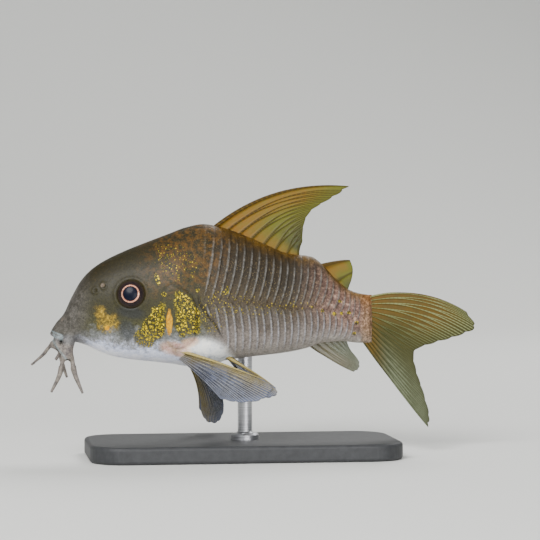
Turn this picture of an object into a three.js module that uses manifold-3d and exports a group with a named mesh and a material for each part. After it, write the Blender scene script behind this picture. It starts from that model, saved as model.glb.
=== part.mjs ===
import * as THREE from "three";
import { LoftGeometry } from "three/addons/geometries/LoftGeometry.js";
import { mergeVertices } from "three/addons/utils/BufferGeometryUtils.js";
import Module from "manifold-3d";

// A slate corydoras catfish at life size, held still over a flat stand by one short rod.
// The fish is built with its snout tip at the origin, its tail towards +X and its back towards +Z.
// Lengths are in millimetres.

// Driving dimensions
const STANDARD_LENGTH = 55;
const SNOUT_HEIGHT = 22;
const STAND_CENTRE = 33;
const GAP = 0.3;
const LEFT = -1;
const RIGHT = 1;

// Outline of the body from the side: distance back from the snout tip, height above it
const BACK_LINE = [
  [0, 0.3], [0.8, 1.5], [2, 2.9], [3.5, 6.0], [5.2, 8.9], [7.2, 10.9], [9.8, 12.5], [13.3, 14.1],
  [16.9, 15.5], [20.6, 16.9], [23, 17.8], [26.1, 18.4], [28.4, 18.1], [32, 17], [36.8, 15], [41, 13.3],
  [45.2, 12.7], [46.8, 11.6], [49.4, 8.9], [51.7, 7], [53.2, 6.4], [55.3, 6],
];
const BELLY_LINE = [
  [0, -0.5], [0.8, -1.0], [2.4, -1.5], [4.2, -1.9], [5.9, -2.4], [7.9, -3.4], [10.8, -4.4], [13.7, -4.9],
  [20.6, -5.7], [24, -6.2], [27, -6.1], [30, -5.2], [33.7, -4.7], [40.3, -4], [44, -3.3], [47.3, -2.3],
  [50.5, -2.1], [53.8, -2.4], [55.3, -2.4],
];
// Half width seen from above
const HALF_WIDTH = [
  [0, 0.7], [0.5, 1.25], [1.2, 1.75], [2.4, 2.4], [4.5, 3.3], [7, 4.15], [10, 5.05], [13.7, 5.85],
  [18, 6.8], [22, 7.4], [27, 7.25], [34, 6.3], [40, 5], [44, 4.1], [48, 3], [52, 2.1], [55.3, 0.9],
];
// Powers of the superellipse that rounds the back and the belly
const BACK_POWER = [[0, 2], [12, 1.9], [24, 1.72], [44, 1.85], [55.3, 2]];
const BELLY_POWER = [[0, 2.1], [15, 2.6], [28, 2.8], [44, 2.3], [55.3, 2]];
const WIDEST_AT = 0.4;

// Two rows of bony plates on each flank, from the head to the root of the tail fin
const PLATE_COUNT = 22;
const TORSO_PLATES = 12;
const FIRST_PLATE = 25.35;
const FRONT_PITCH = 1.43;
const REAR_PITCH = 1.09;
const PLATE_RISE = 0.3;
const PLATE_LAP = 0.88;
const UPPER_LEAN = 0.2;
const LOWER_LEAN = 0.3;
const RING_SIDES = 32;
const LATERAL_LINE = (2 * Math.PI) / RING_SIDES;

// Head
const HEAD_STATIONS = [
  0, 0.35, 0.9, 1.6, 2.4, 3.2, 4.1, 5.1, 6.2, 7.5, 9, 10.6, 12.2, 13.8, 15.4, 17, 18.6, 20.2, 21.8, 23.4,
];
const EYE_AT = [13.2, 6.5];
const EYE_RADIUS = 2.6;
const EYE_DEPTH = 1.65;
const EYE_SUNK = 0.75;
const ORBIT_TUBE = 0.34;
const NOSTRILS_AT = [[8.7, 7.9], [7.3, 7.1]];
const NOSTRIL_RADIUS = 0.6;
const NOSTRIL_BORE = 0.32;
const NOSTRIL_RISE = 0.25;
const NOSTRIL_SIDES = 7;

// Mouth: lips, slit and fleshy corners, and the barbels
const UPPER_LIP_RADIUS = 0.5;
const LOWER_LIP_RADIUS = 0.42;
const LIP_STEPS = 9;
const MOUTH_SLIT = [1.7, 1.5, 0.22];
const MOUTH_SLIT_AT = [1, 0, -1.35];
const CORNER_ROOT_RADIUS = 1.35;
const CORNER_TIP_RADIUS = 0.95;
const CORNER_SIDES = 9;
const CORNER_STEPS = 4;
const BARBEL_SIDES = 7;
const BARBEL_STEPS = 7;
const GILL_COVER = [
  [19.9, 8], [22.2, 7.5], [23.9, 5.6], [24.5, 2.4], [24, -1], [22.1, -2.7], [19.7, -2.4], [18.3, -0.4],
  [17.9, 3], [18.5, 6.3],
];
const GILL_COVER_MIDDLE = [21.2, 2.6];
const GILL_COVER_INNER = 4;
const GILL_COVER_OUTER = 13;
const GILL_COVER_SWELL = 0.22;

// Fins
const MEMBRANE = 0.26;
const RAY_ROOT = 0.46;
const RAY_TIP = 0.3;
const MEMBRANE_REACH = 0.965;
const ROOT_SINK = 0.9;
const MARGIN_WIDTH = 0.8;

// Stand
const BASE_LENGTH = 54;
const BASE_WIDTH = 26;
const BASE_THICKNESS = 3;
const BASE_CORNER = 6;
const BASE_BEVEL = 0.5;
const ROD_RADIUS = 1.25;
const ROD_AT = 33.5;
const ROD_LENGTH = 20;

const wasm = await Module();
wasm.setup();

const smoothstep = THREE.MathUtils.smoothstep;
const lerp = THREE.MathUtils.lerp;
const vector = (x, y, z) => new THREE.Vector3(x, y, z);

// A smooth line through points in order of their first value, with no overshoot
function through(points) {
  const secant = [];
  for (let i = 0; i + 1 < points.length; i += 1) {
    secant.push((points[i + 1][1] - points[i][1]) / (points[i + 1][0] - points[i][0]));
  }
  const slope = points.map((_, i) => {
    const before = secant[Math.max(i - 1, 0)];
    const after = secant[Math.min(i, secant.length - 1)];
    return before * after > 0 ? (2 * before * after) / (before + after) : 0;
  });
  return (x) => {
    const held = THREE.MathUtils.clamp(x, points[0][0], points[points.length - 1][0]);
    let i = 0;
    while (i + 2 < points.length && points[i + 1][0] < held) {
      i += 1;
    }
    const span = points[i + 1][0] - points[i][0];
    const t = (held - points[i][0]) / span;
    const keep = (1 + 2 * t) * (1 - t) * (1 - t);
    const next = t * t * (3 - 2 * t);
    const rise = t * (1 - t) * (1 - t) * span * slope[i];
    const fall = t * t * (1 - t) * span * slope[i + 1];
    return keep * points[i][1] + next * points[i + 1][1] + rise - fall;
  };
}

const backLine = through(BACK_LINE);
const bellyLine = through(BELLY_LINE);
const halfWidth = through(HALF_WIDTH);
const backPower = through(BACK_POWER);
const bellyPower = through(BELLY_POWER);

// Upper or lower half of the section at x: centre height, half width, height and power
function halfSection(x, upper) {
  const top = backLine(x);
  const bottom = bellyLine(x);
  const centre = bottom + WIDEST_AT * (top - bottom);
  return {
    centre,
    width: halfWidth(x),
    height: upper ? top - centre : centre - bottom,
    power: upper ? backPower(x) : bellyPower(x),
  };
}

// Outward direction, in the plane of the section, at a point y, z of its outline
function sectionNormal(section, y, z) {
  const { centre, width, height, power } = section;
  const across = Math.sign(y) * Math.pow(Math.abs(y) / width, power - 1) / width;
  const up = Math.sign(z - centre) * Math.pow(Math.abs(z - centre) / height, power - 1) / height;
  return vector(0, across, up).normalize();
}

// Point of the smooth body in the plane x, at an angle from +Y towards +Z, moved out by swell
function sectionPoint(x, angle, swell = 0) {
  const section = halfSection(x, Math.sin(angle) >= 0);
  const { centre, width, height, power } = section;
  const across = Math.pow(Math.abs(Math.cos(angle)) / width, power);
  const up = Math.pow(Math.abs(Math.sin(angle)) / height, power);
  const radius = Math.pow(across + up, -1 / power);
  const y = radius * Math.cos(angle);
  const z = centre + radius * Math.sin(angle);
  return vector(x, y, z).addScaledVector(sectionNormal(section, y, z), swell);
}

// Point on the side of the smooth body at a given x and height
function flankPoint(x, z, side) {
  const section = halfSection(x, z >= halfSection(x, true).centre);
  const { centre, width, height, power } = section;
  const up = Math.min(Math.abs(z - centre) / height, 1);
  return vector(x, side * width * Math.pow(1 - Math.pow(up, power), 1 / power), z);
}

// Outward normal of the smooth body at a point on its side
function flankNormal(x, z, side) {
  const step = 0.4;
  const along = flankPoint(x + step, z, side).sub(flankPoint(x - step, z, side));
  const upward = flankPoint(x, z + step, side).sub(flankPoint(x, z - step, side));
  const normal = along.cross(upward).normalize();
  return normal.y * side > 0 ? normal : normal.negate();
}

// Rings lean back above and below the lateral line, as the edges of the plates do
function bodyPoint(station, angle, swell = 0) {
  const height = sectionPoint(station, angle).z - sectionPoint(station, LATERAL_LINE).z;
  const strength = smoothstep(station, 12, 22) * (1 - smoothstep(station, 50, 54.5));
  const lean = strength * Math.abs(height) * (height > 0 ? UPPER_LEAN : LOWER_LEAN);
  return sectionPoint(station + lean, angle, swell);
}

// Share of a plate's rise at an angle: none on the belly or along the lateral line
function plateMask(angle) {
  const fromLine = Math.abs(Math.asin(Math.sin(angle)) - LATERAL_LINE);
  const upright = Math.asin(Math.sin(angle));
  const line = smoothstep(fromLine, 0, THREE.MathUtils.degToRad(9));
  const belly = smoothstep(upright, THREE.MathUtils.degToRad(-58), THREE.MathUtils.degToRad(-38));
  const back = 1 - 0.8 * smoothstep(upright, THREE.MathUtils.degToRad(75), THREE.MathUtils.degToRad(90));
  return line * belly * back;
}

function bodyRing(station, swell = 0, rise = 0) {
  const ring = [];
  for (let i = 0; i < RING_SIDES; i += 1) {
    const angle = (2 * Math.PI * i) / RING_SIDES;
    ring.push(bodyPoint(station, angle, swell + rise * plateMask(angle)));
  }
  return ring;
}

// A ring pressed flat onto the middle plane closes the end of a stretch of body
const closingRing = (ring) => ring.map((point) => vector(point.x, 0, point.z));

function bodyStretch(rings) {
  return new LoftGeometry([closingRing(rings[0]), ...rings, closingRing(rings[rings.length - 1])]);
}

const platePitch = (k) => lerp(FRONT_PITCH, REAR_PITCH, k / (PLATE_COUNT - 1));

const plateStarts = [FIRST_PLATE];
for (let k = 0; k < PLATE_COUNT; k += 1) {
  plateStarts.push(plateStarts[k] + platePitch(k));
}

// Each plate rises to its rear edge, which laps over the front of the next
function plateRings(first, last) {
  const rings = [];
  for (let k = first; k < last; k += 1) {
    rings.push(bodyRing(plateStarts[k] + (k === first ? GAP / 2 : 0)));
    rings.push(bodyRing(plateStarts[k] + PLATE_LAP * platePitch(k), 0, PLATE_RISE));
  }
  rings.push(bodyRing(plateStarts[last] - GAP / 2));
  return rings;
}

// Turns a geometry into a solid that can be joined and cut
function solid(geometry) {
  const bare = new THREE.BufferGeometry();
  bare.setAttribute("position", geometry.attributes.position);
  bare.setIndex(geometry.index);
  const merged = mergeVertices(bare, 1e-3);
  const index = merged.index.array;
  const triangles = [];
  for (let i = 0; i < index.length; i += 3) {
    const [a, b, c] = [index[i], index[i + 1], index[i + 2]];
    if (a !== b && b !== c && c !== a) {
      triangles.push(a, b, c);
    }
  }
  return new wasm.Manifold(new wasm.Mesh({
    numProp: 3,
    vertProperties: new Float32Array(merged.attributes.position.array),
    triVerts: new Uint32Array(triangles),
  }));
}

// The largest closed surface of a solid
function largest(body) {
  const pieces = body.decompose();
  pieces.sort((a, b) => b.volume() - a.volume());
  return pieces[0];
}

function geometryOf(body) {
  const { vertProperties, triVerts, numProp } = largest(body).getMesh();
  const positions = new Float32Array((vertProperties.length / numProp) * 3);
  for (let i = 0; i < positions.length / 3; i += 1) {
    positions.set(vertProperties.subarray(i * numProp, i * numProp + 3), i * 3);
  }
  const geometry = new THREE.BufferGeometry();
  geometry.setAttribute("position", new THREE.BufferAttribute(positions, 3));
  geometry.setIndex(new THREE.BufferAttribute(new Uint32Array(triVerts), 1));
  geometry.computeVertexNormals();
  return geometry;
}

const material = (color, roughness, metalness = 0) =>
  new THREE.MeshStandardMaterial({ color, roughness, metalness });
const HEAD_SKIN = material(0x4b4234, 0.4);
const FLANK_SKIN = material(0x534d45, 0.4);
const GILL_SKIN = material(0x7a6a3a, 0.35, 0.2);
const FIN_SKIN = material(0x76703c, 0.45);
const PAIRED_FIN_SKIN = material(0x8d8d92, 0.45);
const BARBEL_SKIN = material(0xa69d94, 0.45);
const EYE = material(0x0d0f18, 0.08);
const STAND_PAINT = material(0x1d1e20, 0.55);
const ROD_STEEL = material(0xb8babd, 0.3, 1);

const fish = new THREE.Group();
fish.position.set(-STAND_CENTRE, 0, SNOUT_HEIGHT);

function addPiece(name, body, skin) {
  const mesh = new THREE.Mesh(geometryOf(body), skin);
  mesh.name = name;
  fish.add(mesh);
}

// A round tube that follows a curve and tapers from one radius to another
function taperedTube(curve, rootRadius, tipRadius, sides, steps) {
  const frames = curve.computeFrenetFrames(steps, false);
  const rings = [];
  for (let i = 0; i <= steps; i += 1) {
    const centre = curve.getPointAt(i / steps);
    const radius = lerp(rootRadius, tipRadius, i / steps);
    const ring = [];
    for (let j = 0; j < sides; j += 1) {
      const angle = (2 * Math.PI * j) / sides;
      ring.push(centre.clone()
        .addScaledVector(frames.normals[i], radius * Math.cos(angle))
        .addScaledVector(frames.binormals[i], radius * Math.sin(angle)));
    }
    rings.push(ring);
  }
  const tube = new LoftGeometry(rings, { capStart: true, capEnd: true });
  return solid(tube);
}

const bend = (...points) => new THREE.CatmullRomCurve3(points, false, "catmullrom", 0.5);

// Body: one smooth form parted into head, torso and tail
const headEnd = FIRST_PLATE - GAP / 2;
const headRings = [...HEAD_STATIONS, headEnd];
const torsoBody = solid(bodyStretch(plateRings(0, TORSO_PLATES)));
const tailRings = plateRings(TORSO_PLATES, PLATE_COUNT);
tailRings.push(bodyRing(lerp(plateStarts[PLATE_COUNT], STANDARD_LENGTH, 0.55)), bodyRing(STANDARD_LENGTH));
const tailBody = solid(bodyStretch(tailRings));

// The whole body grown by the gap clears the roots of the fins and the rod
const grownStations = [...HEAD_STATIONS, ...plateStarts, STANDARD_LENGTH];
const clearance = solid(bodyStretch([
  ...grownStations.map((station) => bodyRing(station, GAP)),
  bodyRing(STANDARD_LENGTH, GAP).map((point) => point.add(vector(GAP, 0, 0))),
]));

// Gill covers: rounded plates let into the sides of the head
function gillRegion(side, grow) {
  const middle = new THREE.Vector2(...GILL_COVER_MIDDLE);
  const outline = GILL_COVER.map(([x, z]) => {
    const arm = new THREE.Vector2(x, z).sub(middle);
    return arm.setLength(arm.length() + grow).add(middle);
  });
  const shape = new THREE.Shape(new THREE.SplineCurve([...outline, outline[0]]).getPoints(28).slice(0, -1));
  const inner = GILL_COVER_INNER - grow;
  const depth = GILL_COVER_OUTER - inner;
  const prism = new THREE.ExtrudeGeometry(shape, { depth, bevelEnabled: false, steps: 1 });
  prism.rotateX(Math.PI / 2);
  prism.translate(0, side === LEFT ? -inner : GILL_COVER_OUTER, 0);
  return solid(prism);
}

// Turns a shape's +Z to the outward normal of the head at a point, and sets it there
function setOnHead(geometry, [x, z], side, lift) {
  const normal = flankNormal(x, z, side);
  geometry.applyQuaternion(new THREE.Quaternion().setFromUnitVectors(vector(0, 0, 1), normal));
  const at = flankPoint(x, z, side).addScaledVector(normal, lift);
  geometry.translate(at.x, at.y, at.z);
  return geometry;
}

// Eyeball, flatter than a sphere, and the socket that is wider by the gap
function eyeball(side, grow) {
  const ball = new THREE.SphereGeometry(1, 16, 10);
  ball.scale(EYE_RADIUS + grow, EYE_RADIUS + grow, EYE_DEPTH + grow);
  return setOnHead(ball, EYE_AT, side, -EYE_SUNK);
}

// A short round tube about a nostril
function nostrilWall(radius) {
  const wall = new THREE.CylinderGeometry(radius * 0.8, radius, 2 * NOSTRIL_RISE, NOSTRIL_SIDES);
  wall.rotateX(Math.PI / 2);
  return wall;
}

// The fleshy corner of the mouth on each side, from which two barbels grow
const MOUTH_CORNERS = {
  [LEFT]: [vector(3, -1.3, -0.6), vector(2.7, -2.3, -2.4), vector(2.5, -2.7, -4.7)],
  [RIGHT]: [vector(3, 1.3, -0.6), vector(1.4, 2.3, -1.9), vector(0.4, 2.8, -3)],
};

function mouthCorner(side, grow) {
  const path = bend(...MOUTH_CORNERS[side]);
  return taperedTube(path, CORNER_ROOT_RADIUS + grow, CORNER_TIP_RADIUS + grow, CORNER_SIDES, CORNER_STEPS);
}

let head = solid(bodyStretch(headRings.map((station) => bodyRing(station))));
const upperLip = bend(vector(3.2, -2, -1.5), vector(0.7, -1.3, -0.7), vector(0, 0, -0.35), vector(0.7, 1.3, -0.7),
  vector(3.2, 2, -1.5));
const lowerLip = bend(vector(3.6, -1.6, -2.2), vector(2, -1.2, -2.15), vector(1.5, 0, -2.1), vector(2, 1.2, -2.15),
  vector(3.6, 1.6, -2.2));
head = head.add(taperedTube(upperLip, UPPER_LIP_RADIUS, UPPER_LIP_RADIUS, BARBEL_SIDES, LIP_STEPS));
head = head.add(taperedTube(lowerLip, LOWER_LIP_RADIUS, LOWER_LIP_RADIUS, BARBEL_SIDES, LIP_STEPS));
const mouthSlit = new THREE.SphereGeometry(1, 12, 6);
mouthSlit.scale(...MOUTH_SLIT);
mouthSlit.translate(...MOUTH_SLIT_AT);
head = head.subtract(solid(mouthSlit));
const gillCovers = {};
for (const side of [LEFT, RIGHT]) {
  head = head.add(mouthCorner(side, 0));
  head = head.add(solid(setOnHead(new THREE.TorusGeometry(EYE_RADIUS - 0.1, ORBIT_TUBE, 5, 16), EYE_AT, side, 0)));
  head = head.subtract(solid(eyeball(side, GAP)));
  for (const at of NOSTRILS_AT) {
    head = head.add(solid(setOnHead(nostrilWall(NOSTRIL_RADIUS), at, side, 0)));
    head = head.subtract(solid(setOnHead(nostrilWall(NOSTRIL_BORE), at, side, NOSTRIL_RISE)));
  }
  const coverSkin = solid(bodyStretch(headRings.map((station) => bodyRing(station, GILL_COVER_SWELL))));
  gillCovers[side] = coverSkin.intersect(gillRegion(side, 0));
  head = head.subtract(gillRegion(side, GAP));
}

addPiece("head", head, HEAD_SKIN);
addPiece("gill_cover_left", gillCovers[LEFT], GILL_SKIN);
addPiece("gill_cover_right", gillCovers[RIGHT], GILL_SKIN);
addPiece("eye_left", solid(eyeball(LEFT, 0)), EYE);
addPiece("eye_right", solid(eyeball(RIGHT, 0)), EYE);
addPiece("torso", torsoBody, FLANK_SKIN);
addPiece("tail", tailBody, FLANK_SKIN);

// A fin: a membrane between rays that run from a root line to a tip line, each bowed to one side.
// The rays stand out of both faces and the membrane is drawn in a little between their tips.
// The first ray is the stoutest where the fin has a spine.
function fin({ roots, tips, bow, rays, rows, spineRadius = RAY_ROOT }) {
  const pathOf = (u) => {
    const root = roots.getPoint(u);
    const tip = tips.getPoint(u);
    const knee = root.clone().lerp(tip, 0.5).addScaledVector(bow, tip.distanceTo(root) * bow.share(u));
    return new THREE.QuadraticBezierCurve3(root, knee, tip);
  };
  const columns = [];
  for (let j = 0; j < 2 * rays - 1; j += 1) {
    const u = j / (2 * rays - 2);
    const ridge = j % 2 === 0;
    const rayRoot = j === 0 ? spineRadius : RAY_ROOT;
    columns.push({
      path: pathOf(u),
      reach: ridge ? 1 : MEMBRANE_REACH,
      root: ridge ? rayRoot : MEMBRANE,
      tip: ridge ? RAY_TIP : MEMBRANE,
    });
  }
  const place = (j, s) => columns[j].path.getPoint(s * columns[j].reach);
  const last = columns.length - 1;
  const front = [];
  const back = [];
  for (let i = 0; i <= rows; i += 1) {
    const s = i / rows;
    front.push([]);
    back.push([]);
    for (let j = 0; j <= last; j += 1) {
      const centre = place(j, s);
      const across = place(Math.min(j + 1, last), s).sub(place(Math.max(j - 1, 0), s));
      const along = place(j, Math.min(s + 0.02, 1)).sub(place(j, Math.max(s - 0.02, 0)));
      const normal = across.clone().cross(along).normalize();
      const half = i === rows ? 0 : lerp(columns[j].root, columns[j].tip, s);
      if (j === 0) {
        const edge = centre.clone().addScaledVector(across.clone().normalize(), -MARGIN_WIDTH * half);
        front[i].push(edge);
        back[i].push(edge);
      }
      front[i].push(centre.clone().addScaledVector(normal, half));
      back[i].push(centre.clone().addScaledVector(normal, -half));
      if (j === last) {
        const edge = centre.clone().addScaledVector(across.clone().normalize(), MARGIN_WIDTH * half);
        front[i].push(edge);
        back[i].push(edge);
      }
    }
  }
  return clear(sheetSolid(front, back));
}

// Closes two facing grids that share their edges, both split along the same diagonals
function sheetSolid(front, back) {
  const positions = [];
  const index = [];
  const width = front[0].length;
  const offset = front.length * width;
  for (const grid of [front, back]) {
    for (const row of grid) {
      for (const point of row) {
        positions.push(point.x, point.y, point.z);
      }
    }
  }
  for (let i = 0; i + 1 < front.length; i += 1) {
    for (let j = 0; j + 1 < width; j += 1) {
      const a = i * width + j;
      const b = a + 1;
      const c = b + width;
      const d = a + width;
      index.push(a, b, c, a, c, d);
      index.push(offset + a, offset + c, offset + b, offset + a, offset + d, offset + c);
    }
  }
  for (let j = 0; j + 1 < width; j += 1) {
    index.push(j + 1, j, offset + j, j + 1, offset + j, offset + j + 1);
  }
  const geometry = new THREE.BufferGeometry();
  geometry.setAttribute("position", new THREE.Float32BufferAttribute(positions, 3));
  geometry.setIndex(index);
  const sheet = solid(geometry);
  if (sheet.volume() > 0) {
    return sheet;
  }
  geometry.setIndex(index.reverse());
  return solid(geometry);
}

// Direction in which rays bow, and the share of their length, along the fin
function bowed(x, y, z, share) {
  return Object.assign(vector(x, y, z).normalize(), { share });
}

const onBack = (x) => vector(x, 0, backLine(x) - ROOT_SINK);
const onBelly = (x) => vector(x, 0, bellyLine(x) + ROOT_SINK);
const flat = (...points) => bend(...points.map(([x, z]) => vector(x, 0, z)));
const clear = (body) => body.subtract(clearance);

// Dorsal fin: a stout spine along the first of eight rays that sweep back
addPiece("dorsal_fin", fin({
  roots: bend(onBack(27.6), onBack(32.6), onBack(37.8), onBack(42.8)),
  tips: flat([51.9, 25], [49.9, 23.6], [47.5, 22.2], [45.4, 20.9], [44.2, 19.3], [43.7, 17.3], [43.6, 15.3]),
  bow: bowed(-0.35, 0, 1, () => 0.2),
  rays: 8,
  rows: 8,
  spineRadius: 0.62,
}), FIN_SKIN);

// Adipose fin: one short spine with a membrane behind it
addPiece("adipose_fin", fin({
  roots: bend(onBack(46.4), onBack(48.4), onBack(50), onBack(51.4)),
  tips: flat([52, 12.1], [52.5, 10.9], [52.4, 9], [51.9, 7.6]),
  bow: bowed(0, 0, 1, () => 0.05),
  rays: 3,
  rows: 5,
  spineRadius: 0.48,
}), FIN_SKIN);

// Anal fin: seven rays folded back along the tail
addPiece("anal_fin", fin({
  roots: bend(onBelly(44.3), onBelly(46.5), onBelly(48.8), onBelly(51)),
  tips: flat([52.7, -7.5], [53.6, -6.9], [53.7, -5.8], [53.1, -4.8], [52.2, -3.8]),
  bow: bowed(-0.3, 0, -1, () => 0.06),
  rays: 7,
  rows: 6,
}), FIN_SKIN);

// Tail fin: two lobes round a shallow fork, the lower one hanging
addPiece("caudal_fin", fin({
  roots: bend(vector(54.6, 0, 5.3), vector(55, 0, 3.6), vector(55.1, 0, 1.6), vector(54.8, 0, -0.3),
    vector(54.2, 0, -1.9)),
  tips: bend(vector(73, 0.7, 2.9), vector(74.6, 0.8, 0.1), vector(71.2, 0.9, -1.5), vector(67.2, 0.9, -2.6),
    vector(63.8, 0.9, -4), vector(64, 0.9, -7.2), vector(65.2, 0.9, -10.8), vector(66.4, 0.9, -15.2),
    vector(66.2, 0.9, -17.5)),
  bow: bowed(0.1, 0, 1, (u) => lerp(0.22, -0.03, smoothstep(u, 0, 0.6))),
  rays: 14,
  rows: 9,
}), FIN_SKIN);

// Left pectoral fin, swept back and a little out
addPiece("pectoral_fin_left", fin({
  roots: bend(vector(20.5, -5, -2.9), vector(21.1, -4.9, -3.7), vector(21.5, -4.6, -4.4)),
  tips: bend(vector(35.3, -11.4, -7.9), vector(36.7, -11.7, -9.3), vector(35, -11.3, -11.3),
    vector(31.2, -10.2, -11.8), vector(28.2, -8.8, -11.3)),
  bow: bowed(0.1, -0.4, 0.6, () => 0.04),
  rays: 8,
  rows: 7,
  spineRadius: 0.6,
}), PAIRED_FIN_SKIN);

// Right pectoral fin, hanging almost straight down
addPiece("pectoral_fin_right", fin({
  roots: bend(vector(22.8, 5, -3.6), vector(23.4, 4.9, -4.1), vector(24, 4.6, -4.5)),
  tips: bend(vector(26.6, 10.6, -14.4), vector(28, 11, -16.8), vector(30, 10.8, -17),
    vector(31, 10, -14.8), vector(30.6, 8.8, -11.8)),
  bow: bowed(1, 0.3, 0.1, () => 0.17),
  rays: 8,
  rows: 7,
  spineRadius: 0.6,
}), PAIRED_FIN_SKIN);

// Pelvic fins, swept back below the belly
for (const [side, name] of [[LEFT, "left"], [RIGHT, "right"]]) {
  addPiece(`pelvic_fin_${name}`, fin({
    roots: bend(vector(29.4, side * 3.6, -4.2), vector(30, side * 3.4, -4.3), vector(30.6, side * 3, -4.3)),
    tips: bend(vector(38, side * 6.4, -9.6), vector(38.2, side * 6.6, -10.8), vector(36.4, side * 6.4, -11.4),
      vector(34.2, side * 5.6, -10.4)),
    bow: bowed(0.1, 0, 0.6, () => 0.05),
    rays: 6,
    rows: 6,
    spineRadius: 0.48,
  }), PAIRED_FIN_SKIN);
}

// Barbels: an upper and a lower one at each corner of the mouth, and a short one on each side of the chin
const BARBELS = {
  barbel_upper_left: { root: 0.5, tip: 0.25, line: [[1.9, -3, -4.1], [1.1, -3.3, -7.4], [-0.3, -3.8, -10.2]] },
  barbel_lower_left: { root: 0.56, tip: 0.26, line: [[3.2, -2.5, -4.1], [3.8, -2.8, -7.2], [5.1, -3.3, -10.5]] },
  barbel_upper_right: { root: 0.5, tip: 0.25, line: [[0.2, 3, -2.3], [-1.3, 3.5, -4.2], [-3.3, 4.4, -6]] },
  barbel_lower_right: { root: 0.5, tip: 0.25, line: [[1.2, 2.7, -2.3], [1.8, 3, -5.2], [2.8, 3.4, -8.2]] },
  barbel_chin_left: { root: 0.5, tip: 0.26, line: [[2.4, -0.7, -2], [1.5, -0.9, -3.6], [0.6, -1.1, -5]] },
  barbel_chin_right: { root: 0.5, tip: 0.26, line: [[2.4, 0.7, -2], [1.5, 0.9, -3.6], [0.6, 1.1, -5]] },
};
const mouthClearance = {
  [LEFT]: mouthCorner(LEFT, GAP),
  [RIGHT]: mouthCorner(RIGHT, GAP),
};
const lipReach = LOWER_LIP_RADIUS + GAP;
const lipClearance = taperedTube(lowerLip, lipReach, lipReach, BARBEL_SIDES, LIP_STEPS);
for (const [name, { root, tip, line }] of Object.entries(BARBELS)) {
  const path = bend(...line.map((point) => vector(...point)));
  const barbel = taperedTube(path, root, tip, BARBEL_SIDES, BARBEL_STEPS);
  const side = name.endsWith("left") ? LEFT : RIGHT;
  addPiece(name, clear(barbel).subtract(mouthClearance[side]).subtract(lipClearance), BARBEL_SKIN);
}

// Stand: a flat base with rounded corners and one round rod up to the belly
const floor = -SNOUT_HEIGHT;
const rodShape = new THREE.CylinderGeometry(ROD_RADIUS, ROD_RADIUS, ROD_LENGTH, 20);
rodShape.rotateX(Math.PI / 2);
rodShape.translate(ROD_AT, 0, floor + BASE_THICKNESS + ROD_LENGTH / 2);
addPiece("stand_rod", clear(solid(rodShape)), ROD_STEEL);

function roundedRectangle(length, width, corner) {
  const shape = new THREE.Shape();
  const x = length / 2 - corner;
  const y = width / 2 - corner;
  shape.absarc(x, y, corner, 0, Math.PI / 2, false);
  shape.absarc(-x, y, corner, Math.PI / 2, Math.PI, false);
  shape.absarc(-x, -y, corner, Math.PI, 1.5 * Math.PI, false);
  shape.absarc(x, -y, corner, 1.5 * Math.PI, 2 * Math.PI, false);
  return shape;
}

const baseShape = roundedRectangle(BASE_LENGTH - 2 * BASE_BEVEL, BASE_WIDTH - 2 * BASE_BEVEL, BASE_CORNER);
const baseBlock = new THREE.ExtrudeGeometry(baseShape, {
  depth: BASE_THICKNESS - 2 * BASE_BEVEL,
  bevelThickness: BASE_BEVEL,
  bevelSize: BASE_BEVEL,
  bevelSegments: 2,
  curveSegments: 3,
});
baseBlock.translate(STAND_CENTRE, 0, floor + BASE_BEVEL);
addPiece("stand_base", solid(baseBlock), STAND_PAINT);

const model = new THREE.Group();
model.add(fish);

export default model;
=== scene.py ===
"""Dresses a life-size slate corydoras catfish on its display stand.

Shapes are worked out in millimetres from the snout tip, with the tail towards +X and the back towards +Z.
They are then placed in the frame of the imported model, in metres.
"""

import math

import bmesh
import bpy
import numpy as np
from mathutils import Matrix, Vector


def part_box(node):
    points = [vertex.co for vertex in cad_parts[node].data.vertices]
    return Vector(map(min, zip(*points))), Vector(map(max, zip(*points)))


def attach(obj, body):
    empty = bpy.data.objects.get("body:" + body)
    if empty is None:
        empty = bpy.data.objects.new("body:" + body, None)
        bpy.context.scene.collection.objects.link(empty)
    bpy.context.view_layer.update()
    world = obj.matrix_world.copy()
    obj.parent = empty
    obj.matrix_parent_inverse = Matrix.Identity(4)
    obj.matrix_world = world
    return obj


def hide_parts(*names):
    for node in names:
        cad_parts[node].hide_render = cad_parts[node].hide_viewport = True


bl_info = {
    "name": "Corydoras catfish",
    "version": (1, 0, 0),
    "blender": (4, 5, 0),
    "location": "View3D > Sidebar > Catfish",
    "description": "Builds the skin, fins, eyes and stand of a slate corydoras catfish",
    "category": "Object",
}

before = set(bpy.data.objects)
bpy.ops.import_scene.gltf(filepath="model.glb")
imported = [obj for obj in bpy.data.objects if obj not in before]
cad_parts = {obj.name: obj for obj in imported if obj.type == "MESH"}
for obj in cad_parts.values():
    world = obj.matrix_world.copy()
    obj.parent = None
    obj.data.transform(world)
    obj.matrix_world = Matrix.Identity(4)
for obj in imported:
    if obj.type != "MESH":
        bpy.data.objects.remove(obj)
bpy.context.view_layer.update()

MM = 0.001
BODY = "root"
LEFT = -1
RIGHT = 1

# Place of the snout tip in the frame: the stand's centre is the origin
STAND_CENTRE = 33.0
SNOUT_HEIGHT = 22.0

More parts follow.
